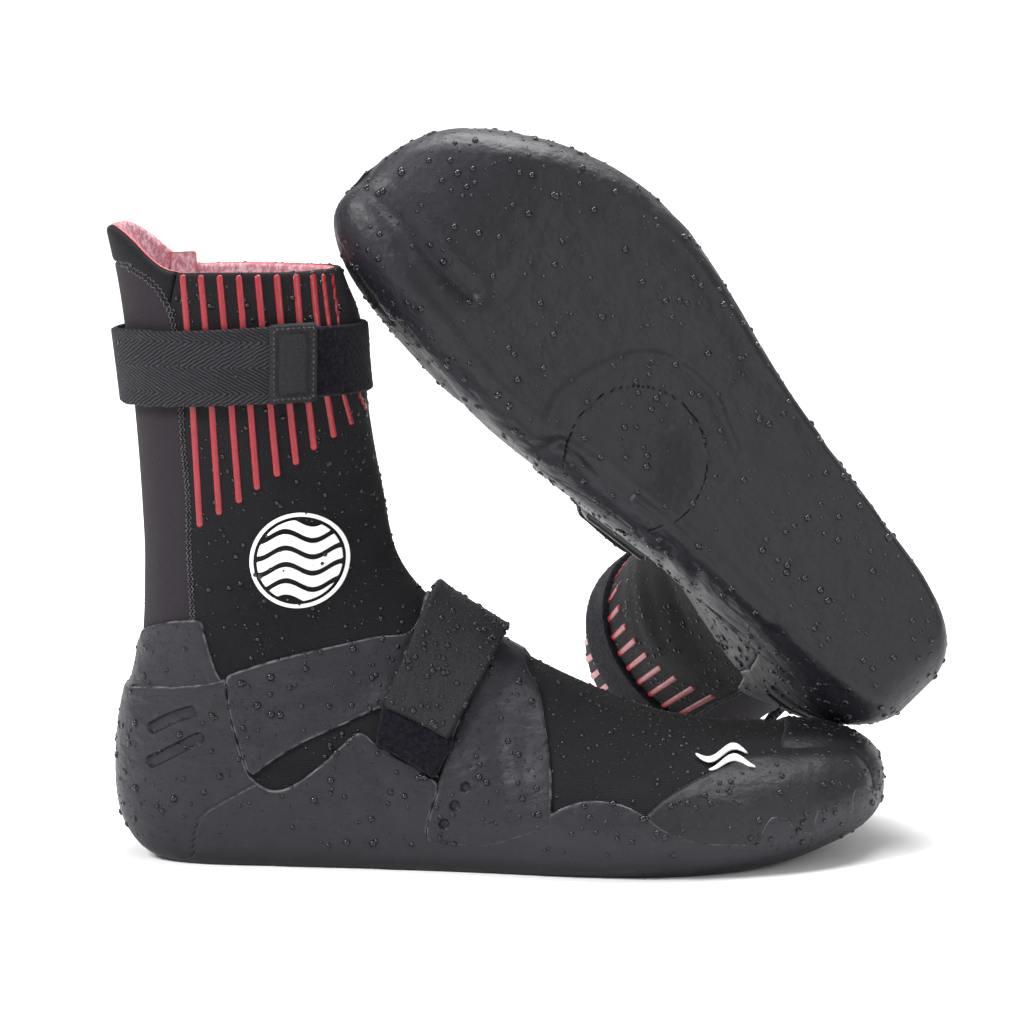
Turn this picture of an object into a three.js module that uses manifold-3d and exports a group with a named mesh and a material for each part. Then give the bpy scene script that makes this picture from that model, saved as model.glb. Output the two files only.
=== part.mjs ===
// A pair of neoprene surf boots. The right boot stands on its sole; the left boot leans on it, with its
// toe on the front of the standing cuff, its heel on the standing toe and its own cuff on the ground.
// Units are millimetres. +X is the standing boot's toe direction, +Z is up, and -Y is its lateral side.
//
// A boot is a stack of layers on one lasted surface: fleece lining, neoprene foam, rubber overlays and
// straps. Every panel is cut out of its layer with a flat side-view pattern, as cloth is cut.

import * as THREE from 'three';
import { mergeVertices } from 'three/addons/utils/BufferGeometryUtils.js';
import Module from 'manifold-3d';

const wasm = await Module();
wasm.setup();

// ---- driving dimensions ----
const BOOT_LENGTH = 297; // heel to toe tip
const BALL_WIDTH = 111; // widest part of the forefoot
const SHAFT_HEIGHT = 225; // ground to cuff rim, without the pull tab
const PULL_TAB_RISE = 18; // how far the pull tab stands above the rim
const NEOPRENE = 3; // foam thickness
const LINING = 1; // fleece thickness
const RUBBER = 1.5; // moulded overlay thickness
const SOLE = 4; // outsole thickness under the foot
const INSOLE = 2.5; // loose foam insole thickness
const GAP = 0.3; // clearance between pieces that touch
const STRAP = 2.2; // strap thickness
const PILE = 2.6; // thickness of the fuzzy loop strips
const ANKLE_STRAP_WIDTH = 29; // height of the strap round the shaft
const ANKLE_STRAP_BASE = 176.5; // height of its lower edge
const INSTEP_STRAP_WIDTH = 27; // width of the strap over the instep
const RING_BAR = 3; // bar of the plastic frame ring
const DIMPLE = 4.6; // diameter of the moulded dimples in the wings
const ARCH_PAD_RADIUS = 29; // round pad under the arch

// Lean of the left boot in degrees: turned about x, then y, then z. Its place along Y is free; along X it
// is pushed up to the standing boot, and it stands on the ground.
const LEAN = [104.2, -48.9, -173];
const LEAN_Y = 17.2;
// How its soft ankle slumps sideways and back, in degrees about its own x and y.
const SLUMP = [9, -4];
const TAB_CURL = 14; // how far the ground presses its pull tab inwards at the tip
const ORIGIN_FROM_HEEL = 120; // the origin lies on the standing sole, this far in front of the heel
const CONTACT_GAP = 2.5; // clearance where the two boots touch

// ---- the last ----
// Sections of the boot from the toe tip to above the rim. Each has its bottom (or back) point and its top
// (or front) point in side view, its lateral and medial reach, the flat share of its underside on each
// side, the height share of its widest place, its crown exponent and the place of its ridge.
const SECTIONS = [
  // bottom x, z, top x, z, lateral, medial, flat lateral, flat medial, widest, crown, ridge
  [297, 26, 297, 27, 24, 30, 0.3, 0.3, 0.5, 2.2, 27], // toe tip
  [295, 18, 295, 36, 7, 43, 0.35, 0.35, 0.48, 2.2, 26],
  [288, 12, 288, 43, -10, 50, 0.45, 0.45, 0.46, 2.3, 25],
  [274, 6.5, 274, 48, -25, 55, 0.55, 0.55, 0.44, 2.4, 24],
  [255, 2, 255, 49.5, -38, 57.5, 0.66, 0.66, 0.4, 2.4, 22], // toe box
  [232, 0.2, 232, 50.5, -48, 58.5, 0.74, 0.74, 0.37, 2.3, 19],
  [205, 0, 208, 55, -53, 58, 0.78, 0.78, 0.34, 2.15, 15], // ball
  [175, 0, 185, 64.5, -51, 54.5, 0.8, 0.72, 0.31, 2, 11],
  [145, 0, 162, 76, -45, 50, 0.82, 0.62, 0.3, 1.9, 8],
  [115, 0, 141, 88, -40, 44, 0.82, 0.58, 0.28, 1.85, 5], // waist
  [85, 0, 125, 98, -37.5, 38.5, 0.82, 0.62, 0.26, 1.85, 3],
  [55, 0, 115, 108, -35.5, 34.5, 0.8, 0.7, 0.25, 1.9, 2],
  [28, 0, 108.5, 118, -34.5, 33, 0.7, 0.64, 0.27, 1.95, 1], // heel seat
  [9, 5, 105.2, 127, -34.3, 33, 0.42, 0.42, 0.32, 2, 1],
  [0, 23, 103.2, 136, -35, 34.5, 0.2, 0.2, 0.38, 2, 0],
  [0.3, 53, 101.6, 144, -35.5, 36, 0.14, 0.14, 0.44, 2, 0], // heel top
  [7.5, 86, 99.8, 152.5, -36, 37, 0.12, 0.12, 0.48, 2, 0],
  [9.8, 112, 98, 163, -36, 37, 0.12, 0.12, 0.5, 2, 0], // ankle
  [9, 140, 96.2, 175, -36, 36.5, 0.12, 0.12, 0.5, 2.05, 0],
  [6.8, 173, 94.5, 191, -36, 36, 0.12, 0.12, 0.5, 2.1, 0],
  [3.5, 203, 93, 209, -36, 36, 0.12, 0.12, 0.5, 2.15, 0],
  [1.5, 225, 87, 225, -36, 36, 0.12, 0.12, 0.5, 2.2, 0], // rim
  [-1, 247, 81, 247, -36, 36, 0.12, 0.12, 0.5, 2.2, 0], // above the pull tab
];
const LAST_LENGTH = 297; // the sections and patterns are drawn at these sizes
const LAST_BALL = 111;
const LAST_HEIGHT = 225;
const LAST_ANKLE = 150; // heights above this stretch with the shaft
const LAST_TAB_RISE = 18;
// Where a ring of points is laid, counted in sections, and the places round it from sole to ridge.
const SECTION_PLACES = [
  0, 1, 2, 3, 4, 5, 6, 7, 8, 9, 10, 11, 12, 13, 13.5, 14, 15, 16, 17, 18, 19, 20, 21, 22,
];
const RING_PLACES = [0, 0.2, 0.34, 0.43, 0.5, 0.63, 0.76, 0.89, 1];

const smooth = (value, low, high) => {
  const t = Math.min(Math.max((value - low) / (high - low), 0), 1);
  return t * t * (3 - 2 * t);
};
const sideLength = (x) => (x * BOOT_LENGTH) / LAST_LENGTH;
function sideHeight(z) {
  if (z <= LAST_ANKLE) return z;
  if (z > LAST_HEIGHT) return SHAFT_HEIGHT + ((z - LAST_HEIGHT) * PULL_TAB_RISE) / LAST_TAB_RISE;
  return LAST_ANKLE + ((z - LAST_ANKLE) * (SHAFT_HEIGHT - LAST_ANKLE)) / (LAST_HEIGHT - LAST_ANKLE);
}

function sectionAt(place) {
  const i = Math.min(Math.floor(place), SECTIONS.length - 2);
  const t = place - i;
  const row = (k) => SECTIONS[Math.min(Math.max(k, 0), SECTIONS.length - 1)];
  const [a, b, c, d] = [row(i - 1), row(i), row(i + 1), row(i + 2)];
  return b.map((_, k) => 0.5 * (2 * b[k] + (c[k] - a[k]) * t
    + (2 * a[k] - 5 * b[k] + 4 * c[k] - d[k]) * t ** 2
    + (3 * b[k] - a[k] - 3 * c[k] + d[k]) * t ** 3));
}

// A point of the lasted surface. reach runs from -1 (ridge, lateral) through 0 (underside) to 1.
const WIDEST = 0.5;
function lastPoint(place, reach) {
  const [bx, bz, tx, tz, lateral, medial, flatL, flatM, widest, crown, ridge] = sectionAt(place);
  const share = Math.abs(reach);
  const middle = (lateral + medial) / 2;
  const half = (medial - lateral) / 2;
  const flat = reach < 0 ? flatL : flatM;
  const flatEnd = 0.32 * flat;
  let out = (half * flat * share) / flatEnd;
  let up = 0;
  if (share >= WIDEST) {
    const turn = ((share - WIDEST) / (1 - WIDEST)) * (Math.PI / 2);
    out = half * Math.max(Math.cos(turn), 0) ** (2 / crown);
    up = widest + (1 - widest) * Math.sin(turn) ** (2 / crown);
  } else if (share > flatEnd) {
    const turn = ((share - flatEnd) / (WIDEST - flatEnd)) * (Math.PI / 2);
    out = half * (flat + (1 - flat) * Math.sin(turn));
    up = widest * (1 - Math.cos(turn));
  }
  const lean = (ridge - middle) * Math.max((up - widest) / (1 - widest), 0) ** 1.5;
  const y = middle + Math.sign(reach) * out + lean;
  return new THREE.Vector3(
    sideLength(bx + (tx - bx) * up),
    (y * BALL_WIDTH) / LAST_BALL,
    sideHeight(bz + (tz - bz) * up),
  );
}

// ---- layers ----
// The lasted surface as rings of points, with the outward direction at each.
const RING = [...RING_PLACES.slice(1).reverse().map((r) => -r), ...RING_PLACES.slice(0, -1)];
const COUNT = RING.length;
const surface = SECTION_PLACES.flatMap((place) => RING.map((reach) => lastPoint(place, reach)));
const quads = [];
for (let i = 0; i < SECTION_PLACES.length - 1; i += 1) {
  for (let j = 0; j < COUNT; j += 1) {
    const next = (j + 1) % COUNT;
    quads.push([i * COUNT + j, (i + 1) * COUNT + j, (i + 1) * COUNT + next, i * COUNT + next]);
  }
}
const outward = surface.map(() => new THREE.Vector3());
for (const [a, b, c, d] of quads) {
  const across = surface[c].clone().sub(surface[a]);
  const normal = across.cross(surface[d].clone().sub(surface[b]));
  for (const k of [a, b, c, d]) outward[k].add(normal);
}
outward.forEach((n) => n.normalize());

// The foam is flush with the last on the shaft and one overlay lower on the foot.
const skin = surface.map((p) => {
  const rise = smooth(p.z - 0.35 * (p.x - 50), 85, 125);
  return -(RUBBER + GAP) * (1 - rise);
});
// Inside the outsole, everything stands higher by the extra thickness of the sole.
const soleLift = surface.map((p) => (SOLE - RUBBER) * (1 - smooth(p.z, 0, 18)));
const foam = { outer: () => 0, inner: () => -NEOPRENE };
const fleece = { outer: () => -NEOPRENE - GAP, inner: () => -NEOPRENE - GAP - LINING };
const foamAndFleece = { outer: foam.outer, inner: fleece.inner };
const overlay = { outer: () => GAP + RUBBER, inner: () => GAP };
const onSkin = (from, thickness) => ({ outer: () => from + thickness, inner: () => from });
const footTop = RUBBER + 2 * GAP; // clear of the overlays

function toSolid(positions, triangles) {
  const mesh = new wasm.Mesh({
    numProp: 3,
    vertProperties: new Float32Array(positions),
    triVerts: new Uint32Array(triangles),
  });
  mesh.merge();
  return new wasm.Manifold(mesh);
}

// A closed shell between a layer's outer and inner faces, over the whole boot.
function layerSolid(layer) {
  const total = surface.length;
  const points = [];
  for (const face of [layer.outer, layer.inner]) {
    surface.forEach((p, k) => {
      const offset = skin[k] + face();
      const q = p.clone().addScaledVector(outward[k], offset);
      if (offset < 0) q.z += soleLift[k];
      points.push(q.x, q.y, q.z);
    });
  }
  const triangles = [];
  const quad = (a, b, c, d) => triangles.push(a, b, c, a, c, d);
  for (const [a, b, c, d] of quads) {
    quad(a, b, c, d);
    quad(c + total, b + total, a + total, d + total);
  }
  const top = (SECTION_PLACES.length - 1) * COUNT;
  for (let j = 0; j < COUNT; j += 1) {
    const next = (j + 1) % COUNT;
    quad(top + next, top + j, top + j + total, top + next + total);
  }
  for (let j = 1; j < COUNT - 1; j += 1) {
    triangles.push(0, j, j + 1);
    triangles.push(total, total + j + 1, total + j);
  }
  return toSolid(points, triangles);
}

// ---- patterns ----
const FAR = 400;
const sized = (outline) => outline.map(([x, z]) => [sideLength(x), sideHeight(z)]);

function closedGeometry(geometry) {
  geometry.deleteAttribute('normal');
  geometry.deleteAttribute('uv');
  const merged = mergeVertices(geometry, 1e-4);
  return toSolid(merged.attributes.position.array, merged.index.array);
}

// A side-view outline as a block through the boot, or through one side of it.
function sideBlock(outline, side = 'both') {
  const shape = new THREE.Shape(outline.map(([x, z]) => new THREE.Vector2(x, z)));
  const geometry = new THREE.ExtrudeGeometry(shape, { depth: FAR, bevelEnabled: false });
  geometry.rotateX(Math.PI / 2);
  const start = { both: FAR / 2, lateral: 0, medial: FAR }[side];
  geometry.translate(0, start, 0);
  return closedGeometry(geometry);
}
const cut = (outline, side) => sideBlock(sized(outline), side);

// Moves every corner of an outline outwards, so that a neighbour cut by it keeps a clearance.
function grown(outline, by = GAP) {
  const area = outline.reduce((sum, [x, z], k) => {
    const [u, v] = outline[(k + 1) % outline.length];
    return sum + x * v - u * z;
  }, 0);
  const turn = Math.sign(area);
  return outline.map(([x, z], k) => {
    const [px, pz] = outline[(k + outline.length - 1) % outline.length];
    const [nx, nz] = outline[(k + 1) % outline.length];
    const before = new THREE.Vector2(z - pz, px - x).normalize();
    const after = new THREE.Vector2(nz - z, x - nx).normalize();
    const bisector = before.clone().add(after).normalize();
    const reach = (by * turn) / Math.max(bisector.dot(before), 0.5);
    return [x + bisector.x * reach, z + bisector.y * reach];
  });
}

// The largest single piece of a cut, so that offcuts are thrown away.
function largest(solid) {
  const pieces = solid.decompose();
  return pieces.reduce((best, piece) => (piece.volume() > best.volume() ? piece : best));
}

const BELOW = -60;
const BEHIND = -60;
const AHEAD = 360;
const ABOVE = 280;

const soleLine = [
  [AHEAD, 40], [300, 24], [288, 18], [274, 12], [255, 7.5], [232, 5], [205, 4.5], [BEHIND, 4.5],
];
const soleOutline = [[BEHIND, BELOW], [AHEAD, BELOW], ...soleLine];
const aboveSole = [[BEHIND, ABOVE], ...[...soleLine].reverse(), [AHEAD, ABOVE]];

const heelTopEdge = [[BEHIND, 66.6], [3, 66.6], [14.6, 68.9], [34.9, 71.2], [44.6, 72.3]];
const heelFrontEdge = [
  [46.1, 58.9], [52.1, 38.5], [56, 33.2], [44.4, 26.5], [35, 20.3], [32, 13.8], [31, BELOW],
];
const heelOutline = [...heelTopEdge, ...heelFrontEdge, [BEHIND, BELOW]];

const randTop = [
  [31, 40], [56, 33.2], [61.3, 30.4], [68.6, 31.8], [80.1, 40], [92.6, 51.5], [97.2, 52.3], [101.8, 48.6],
  [110.3, 43.7], [118, 40.5], [124.9, 34.7], [125.3, 31.1], [122.8, 23.5], [121.2, 15.6], [122.5, 12.9],
  [145.2, 12.5], [152.3, 14.8], [164.8, 21.6], [167.8, 24.8], [183.6, 30.7], [194.8, 29.8], [204.2, 25.8],
  [211.9, 20.3],
];
const randOutline = [[20, BELOW], ...randTop, [211.9, BELOW]];
const bumperTop = [
  [211.9, 20.3], [224.9, 15.8], [245.6, 14], [250.5, 22.1], [253.4, 23.3], [258.4, 22.1], [261.2, 17.9],
  [267, 15.6], [269.2, 23.4], [271.9, 23.7], [277.3, 24.9], [280.1, 22.4], [282.8, 21.4], [283.2, 28],
  [286.8, 30.2], [AHEAD, 30.2],
];
const bumperOutline = [[212.2, BELOW], [212.2, 20.1], ...bumperTop.slice(1), [AHEAD, BELOW]];
const toeCapBack = [[205, 26], [210.5, 31], [218, 35.4], [226, 38.9], [241, 43.6], [258, 50], [266, 70]];
const toeCapOutline = [[205, BELOW], ...toeCapBack, [AHEAD, 70], [AHEAD, BELOW]];

const wingFront = [[167.8, 25.2], [168.6, 40], [166.2, 55.4], [162.8, 68.3], [157.2, 77.5], [149.2, 110]];
const wingBack = [[144, 110], [138, 72], [131, 50.3], [126, 36]];
const wingOutline = [
  ...wingFront, ...wingBack, [125.3, 31.1], [122.8, 23.5], [121.2, 15.6], [122.5, 12.9], [145.2, 12.5],
  [152.3, 14.8], [164.8, 21.6],
];
const wingDimples = [[136.1, 33.7], [132.2, 26.5], [128.1, 19.4]];

const wrapOutline = [
  [46.4, 74.7], [74.5, 82.6], [99.4, 87.9], [115, 91], [121, 110], [144, 110], [138, 72], [131, 50.3],
  [112, 64], [102.3, 60.4], [89.9, 53.6], [72.7, 46], [56, 36.3], [52.1, 38.5], [46.1, 58.9], [44.6, 72.3],
];
const achillesOutline = [
  [BEHIND, 66.6], [3, 66.6], [14.6, 68.9], [34.9, 71.2], [43.6, 72.2], [40.7, 77], [37, 88.2], [35.1, 94.6],
  [29, 95.4], [18.5, 93], [10.3, 89], [7.6, 84], [BEHIND, 84],
];
const heelGrooves = [
  [[12.6, 51], [38.4, 60.8], [37.4, 64.4], [12, 54.6]],
  [[12.8, 37.8], [37.6, 50], [36.4, 53.4], [12, 41.4]],
];

// The straps run across the instep from its ridge down both sides.
const strapBackEdge = [[105.3, 62.3], [119.2, 103], [124, 117]];
// Across the strap, along its free end.
const strapDirection = new THREE.Vector2(INSTEP_STRAP_WIDTH * 0.89, -INSTEP_STRAP_WIDTH * 0.45);
const strapFrontEdge = [[147.2, 84], [154, 98]];
const strapEnd = [105.3 + strapDirection.x, 62.3 + strapDirection.y];
const tabOutline = [strapEnd, ...strapFrontEdge, [124, 117], [119.2, 103], [105.3, 62.3]];
const rootEnd = [[140, 51.5], [114.5, 56]];
const rootOutline = [rootEnd[0], ...strapFrontEdge, [124, 117], [119.2, 103], rootEnd[1]];
const loopOutline = [[104, 61.5], [130, 50], [127.6, 43.5], [124, 36.5], [101.8, 47]];
const ringOutline = [[112, 55.6], [141.5, 51], [139, 38.5], [110, 43]];

const flexBottom = [[BEHIND, 88], [9.6, 98], [113, 114], [AHEAD, 150]];
const flexTop = [[BEHIND, 129], [9.6, 138], [100, 150], [AHEAD, 184]];
const footOutline = [[BEHIND, BELOW], [AHEAD, BELOW], [AHEAD, 150], ...[...flexBottom].reverse().slice(1)];
const shaftOutline = [...flexTop, [AHEAD, LAST_HEIGHT], [BEHIND, LAST_HEIGHT]];
const flexOutline = [...flexBottom, ...[...flexTop].reverse()];

const backSeam = [
  [31.5, 95], [30.7, 122.1], [30.6, 141.9], [28.9, 162.2], [28.3, 176.8], [26, 206.4], [23.8, 214.2],
  [19.9, 222.1], [16, LAST_HEIGHT + 4],
];
const backOutline = [[BEHIND, 95], ...backSeam, [BEHIND, LAST_HEIGHT + 4]];
const pullTabOutline = [
  [BEHIND, LAST_HEIGHT + 1.2], [20.5, LAST_HEIGHT + 1.2], [17.5, 228.7], [12.3, 232.7], [8.5, 236.2],
  [5.2, 239.5], [2, 241.6], [-0.5, 242.8], [BEHIND, 242.8],
];
const vampSeam = 150; // where the forefoot foam meets the quarter
const RIDGE = 4; // the instep's ridge, where the side pieces meet, is this far to the medial side
const ARCH_PAD_CENTRE = [146, 24]; // from the heel and to the medial side

const strapLow = ANKLE_STRAP_BASE + (SHAFT_HEIGHT - LAST_HEIGHT) * 0.6;
const strapHigh = strapLow + ANKLE_STRAP_WIDTH;
const SEWN_END = 22; // where the webbing leaves its stitches
const TAB_START = 62.3; // where the webbing meets the rubber grip tab
const TAB_END = 78;
const MEDIAL_LOOP_START = 34; // where the fuzzy strip starts on the medial side
const band = (from, to) => [[from, strapLow], [to, strapLow], [to, strapHigh], [from, strapHigh]]
  .map(([x, z]) => [sideLength(x), z]);

// ---- the pieces of one boot ----
function wallOff(plane, side) {
  // a block on one side of a vertical plane that splits the pieces at the ridge
  return sideBlock([[BEHIND, BELOW], [AHEAD * 2, BELOW], [AHEAD * 2, ABOVE * 2], [BEHIND, ABOVE * 2]], side)
    .translate([0, plane, 0]);
}

function makePieces() {
  const rubber = layerSolid(overlay);
  const foamShell = layerSolid(foam);
  const fleeceShell = layerSolid(fleece);
  const lateralHalf = wallOff(RIDGE - GAP / 2, 'lateral');
  const medialHalf = wallOff(RIDGE + GAP / 2, 'medial');
  const solids = {};

  const [padX, padY] = ARCH_PAD_CENTRE;
  const disc = (radius) => closedGeometry(
    new THREE.CylinderGeometry(radius, radius, 60, 24).rotateX(Math.PI / 2)
      .translate(sideLength(padX), (padY * BALL_WIDTH) / LAST_BALL, 0),
  );
  const padZone = cut(soleOutline);
  solids.outsole = rubber.intersect(padZone).subtract(disc(ARCH_PAD_RADIUS + GAP));
  solids.arch_pad = rubber.intersect(padZone).intersect(disc(ARCH_PAD_RADIUS));
  const sideRubber = rubber.intersect(sideBlock(grownUp(aboveSole)));

  solids.heel_cup = sideRubber.intersect(cut(heelOutline));
  for (const groove of heelGrooves) solids.heel_cup = solids.heel_cup.subtract(cut(groove));
  const notHeel = sideBlock(grown(sized(heelOutline)));
  const rand = sideRubber.intersect(cut(randOutline)).subtract(notHeel);
  solids.lateral_rand = rand.intersect(wallOff(0, 'lateral'));
  solids.medial_rand = rand.intersect(wallOff(0, 'medial'));
  const notRand = sideBlock(grown(sized(randOutline)));
  solids.toe_bumper = sideRubber.intersect(cut(bumperOutline)).subtract(notRand);
  const notBumper = sideBlock(grown(sized(bumperOutline)));
  solids.toe_cap = sideRubber.intersect(cut(toeCapOutline)).subtract(notBumper).subtract(notRand);

  const low = notRand.add(notHeel);
  let wing = sideRubber.intersect(cut(wingOutline)).subtract(low);
  for (const [x, z] of wingDimples) {
    const hole = new THREE.CylinderGeometry(DIMPLE / 2, DIMPLE / 2, FAR, 8).translate(sideLength(x), 0, z);
    wing = wing.subtract(closedGeometry(hole));
  }
  solids.lateral_wing = wing.intersect(lateralHalf);
  solids.medial_wing = wing.intersect(medialHalf);
  const notWing = sideBlock(grown(sized(wingOutline)));
  const wrap = sideRubber.intersect(cut(wrapOutline)).subtract(low).subtract(notWing);
  solids.lateral_ankle_wrap = wrap.intersect(lateralHalf);
  solids.medial_ankle_wrap = wrap.intersect(medialHalf);
  const notWrap = sideBlock(grown(sized(wrapOutline)));
  solids.achilles_patch = sideRubber.intersect(cut(achillesOutline)).subtract(low).subtract(notWrap);

  const foot = cut(footOutline);
  const seam = sideLength(vampSeam);
  const forefoot = sideBlock([[seam + GAP, BELOW], [FAR, BELOW], [FAR, FAR], [seam + GAP, FAR]]);
  const rearfoot = sideBlock([[BEHIND, BELOW], [seam, BELOW], [seam, FAR], [BEHIND, FAR]]);
  solids.vamp = foamShell.intersect(foot).intersect(forefoot);
  solids.quarter = foamShell.intersect(foot).intersect(rearfoot);
  solids.foot_lining = fleeceShell.intersect(foot);

  const shaft = cut(shaftOutline);
  const shaftFoam = foamShell.intersect(shaft);
  const notBack = sideBlock(grown(sized(backOutline)));
  solids.back_panel = shaftFoam.intersect(cut(backOutline));
  const panels = shaftFoam.subtract(notBack);
  solids.lateral_shaft_panel = panels.intersect(wallOff(-GAP / 2, 'lateral'));
  solids.medial_shaft_panel = panels.intersect(wallOff(GAP / 2, 'medial'));
  solids.shaft_lining = fleeceShell.intersect(shaft);
  const sleeve = layerSolid(foamAndFleece).intersect(cut(flexOutline));
  solids.ankle_sleeve = sleeve.subtract(sideBlock(grown(sized(footOutline))))
    .subtract(sideBlock(grown(sized(shaftOutline))));
  solids.pull_tab = foamShell.intersect(cut(pullTabOutline));

  const footPile = layerSolid(onSkin(footTop, PILE));
  solids.instep_loop_strip = footPile.intersect(cut(loopOutline)).intersect(lateralHalf);
  const strapLayer = layerSolid(onSkin(footTop + PILE + GAP, STRAP));
  solids.instep_strap = strapLayer.intersect(cut(tabOutline)).intersect(lateralHalf);
  solids.instep_strap_root = strapLayer.intersect(cut(rootOutline)).intersect(medialHalf);
  const frame = cut(ringOutline).subtract(sideBlock(grown(sized(ringOutline), -RING_BAR)));
  solids.strap_ring = layerSolid(onSkin(footTop, RING_BAR)).intersect(frame)
    .intersect(sideBlock(grown(sized(ringOutline), GAP))).intersect(medialHalf)
    .subtract(sideBlock(grown(sized(rootOutline))));

  const shaftPile = layerSolid(onSkin(GAP, PILE));
  const webbing = layerSolid(onSkin(2 * GAP + PILE, STRAP));
  const lateral = wallOff(0, 'lateral');
  const medial = wallOff(-0.01, 'medial');
  const around = (from, to) => sideBlock(band(from, to));
  const lateralLoop = around(TAB_START - 3, AHEAD).intersect(lateral);
  const medialLoop = around(MEDIAL_LOOP_START, AHEAD).intersect(medial);
  solids.ankle_loop_strip = shaftPile.intersect(lateralLoop.add(medialLoop));
  const sewnZone = around(BEHIND, SEWN_END).intersect(lateral)
    .add(around(BEHIND, MEDIAL_LOOP_START - GAP).intersect(medial));
  solids.ankle_webbing_sewn = webbing.intersect(sewnZone);
  solids.ankle_strap = webbing.intersect(around(SEWN_END + GAP, TAB_START - GAP)).intersect(lateral);
  solids.ankle_strap_tab = webbing.intersect(around(TAB_START, TAB_END)).intersect(lateral);

  const inside = layerSolid({ outer: () => -NEOPRENE - 2 * GAP - LINING, inner: () => -NEOPRENE - 14 });
  const insoleTop = SOLE + NEOPRENE + LINING + 3 * GAP + INSOLE;
  const insoleZone = sideBlock([[BEHIND, BELOW], [FAR, BELOW], [FAR, insoleTop], [BEHIND, insoleTop]]);
  solids.insole = inside.intersect(insoleZone);
  return solids;
}

function grownUp(outline) {
  return sized(outline).map(([x, z]) => [x, z + GAP]);
}

// ---- finish and placing ----
const finishes = {
  rubber: { color: 0x3a3b42, roughness: 0.55, metalness: 0 },
  jersey: { color: 0x1c1c20, roughness: 0.9, metalness: 0 },
  backJersey: { color: 0x39353c, roughness: 0.9, metalness: 0 },
  fleece: { color: 0xc47a80, roughness: 1, metalness: 0 },
  webbing: { color: 0x2c2e34, roughness: 0.85, metalness: 0 },
  pile: { color: 0x16161f, roughness: 1, metalness: 0 },
  plastic: { color: 0x101014, roughness: 0.35, metalness: 0 },
};
const finishOf = {
  vamp: 'jersey', quarter: 'jersey', lateral_shaft_panel: 'jersey', medial_shaft_panel: 'jersey',
  ankle_sleeve: 'jersey', pull_tab: 'jersey', back_panel: 'backJersey', foot_lining: 'fleece',
  shaft_lining: 'fleece', insole: 'fleece', instep_loop_strip: 'pile', ankle_loop_strip: 'pile',
  ankle_strap: 'webbing', ankle_webbing_sewn: 'webbing', strap_ring: 'plastic',
};
const materials = Object.fromEntries(
  Object.entries(finishes).map(([name, look]) => [name, new THREE.MeshStandardMaterial(look)]),
);

function geometryOf(solid, place) {
  const mesh = solid.getMesh();
  const positions = [];
  const point = new THREE.Vector3();
  for (let k = 0; k < mesh.vertProperties.length; k += mesh.numProp) {
    point.fromArray(mesh.vertProperties, k);
    place(point);
    positions.push(point.x, point.y, point.z);
  }
  const geometry = new THREE.BufferGeometry();
  geometry.setAttribute('position', new THREE.Float32BufferAttribute(positions, 3));
  geometry.setIndex([...mesh.triVerts]);
  return geometry;
}

const flip = (geometry) => {
  const index = geometry.index.array;
  for (let k = 0; k < index.length; k += 3) [index[k], index[k + 1]] = [index[k + 1], index[k]];
  return geometry;
};

// The left boot is the mirror image, with its pull tab folded and its shaft slumped about the ankle.
const ANKLE_PIVOT = new THREE.Vector3(sideLength(55), 0, 108);
const SLUMP_FROM = new THREE.Vector3(sideLength(61), 0, 88);
const SLUMP_TO = new THREE.Vector3(sideLength(47), 0, 131);
const TAB_BASE = sideHeight(LAST_HEIGHT + 1.2);
const slumpTurn = new THREE.Vector3(...SLUMP, 0).multiplyScalar(Math.PI / 180);
const slumpAxis = slumpTurn.clone().normalize();
function mirrorAndSlump(point, isTab) {
  point.y = -point.y;
  if (isTab) point.x += TAB_CURL * ((point.z - TAB_BASE) / PULL_TAB_RISE) ** 2;
  const along = SLUMP_TO.clone().sub(SLUMP_FROM);
  const share = point.clone().sub(SLUMP_FROM).dot(along) / along.lengthSq();
  point.sub(ANKLE_PIVOT).applyAxisAngle(slumpAxis, slumpTurn.length() * smooth(share, 0, 1)).add(ANKLE_PIVOT);
}

const solids = makePieces();
const pieces = Object.entries(solids).map(([name, solid]) => [name, largest(solid)]);

const rightBoot = new THREE.Group();
const leftBoot = new THREE.Group();
for (const [name, solid] of pieces) {
  const material = materials[finishOf[name] ?? 'rubber'];
  const right = new THREE.Mesh(geometryOf(solid, () => {}), material);
  right.name = `right_${name}`;
  rightBoot.add(right);
  const place = (point) => mirrorAndSlump(point, name === 'pull_tab');
  const left = new THREE.Mesh(flip(geometryOf(solid, place)), material);
  left.name = `left_${name}`;
  leftBoot.add(left);
}

// Stands the leaning boot on the ground and pushes it up to the standing one.
const [leanX, leanY, leanZ] = LEAN.map((angle) => THREE.MathUtils.degToRad(angle));
leftBoot.rotation.set(leanX, leanY, leanZ, 'ZYX');
leftBoot.position.set(sideLength(316), LEAN_Y, 0);
leftBoot.updateMatrixWorld(true);
const joined = (boot) => wasm.Manifold.union(boot.children.map((mesh) => {
  const placed = mesh.geometry.clone().applyMatrix4(mesh.matrixWorld);
  return toSolid(placed.attributes.position.array, placed.index.array);
}));
const standing = joined(rightBoot);
const leaning = joined(leftBoot);
const ground = -leaning.boundingBox().min[2];
let near = -40; // overlaps
let far = 60; // stands clear
while (far - near > 0.01) {
  const middle = (near + far) / 2;
  const clear = standing.intersect(leaning.translate([middle, 0, ground])).isEmpty();
  if (clear) far = middle;
  else near = middle;
}
leftBoot.position.x += far + CONTACT_GAP;
leftBoot.position.z = ground;

const pair = new THREE.Group();
pair.add(rightBoot, leftBoot);
pair.position.x = -sideLength(ORIGIN_FROM_HEEL);

export default pair;
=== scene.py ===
"""A pair of neoprene surf boots: one stands on its sole, the other leans on it, its cuff on the ground."""

import math

import bpy
import numpy as np
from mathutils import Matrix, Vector
from mathutils.bvhtree import BVHTree


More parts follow.
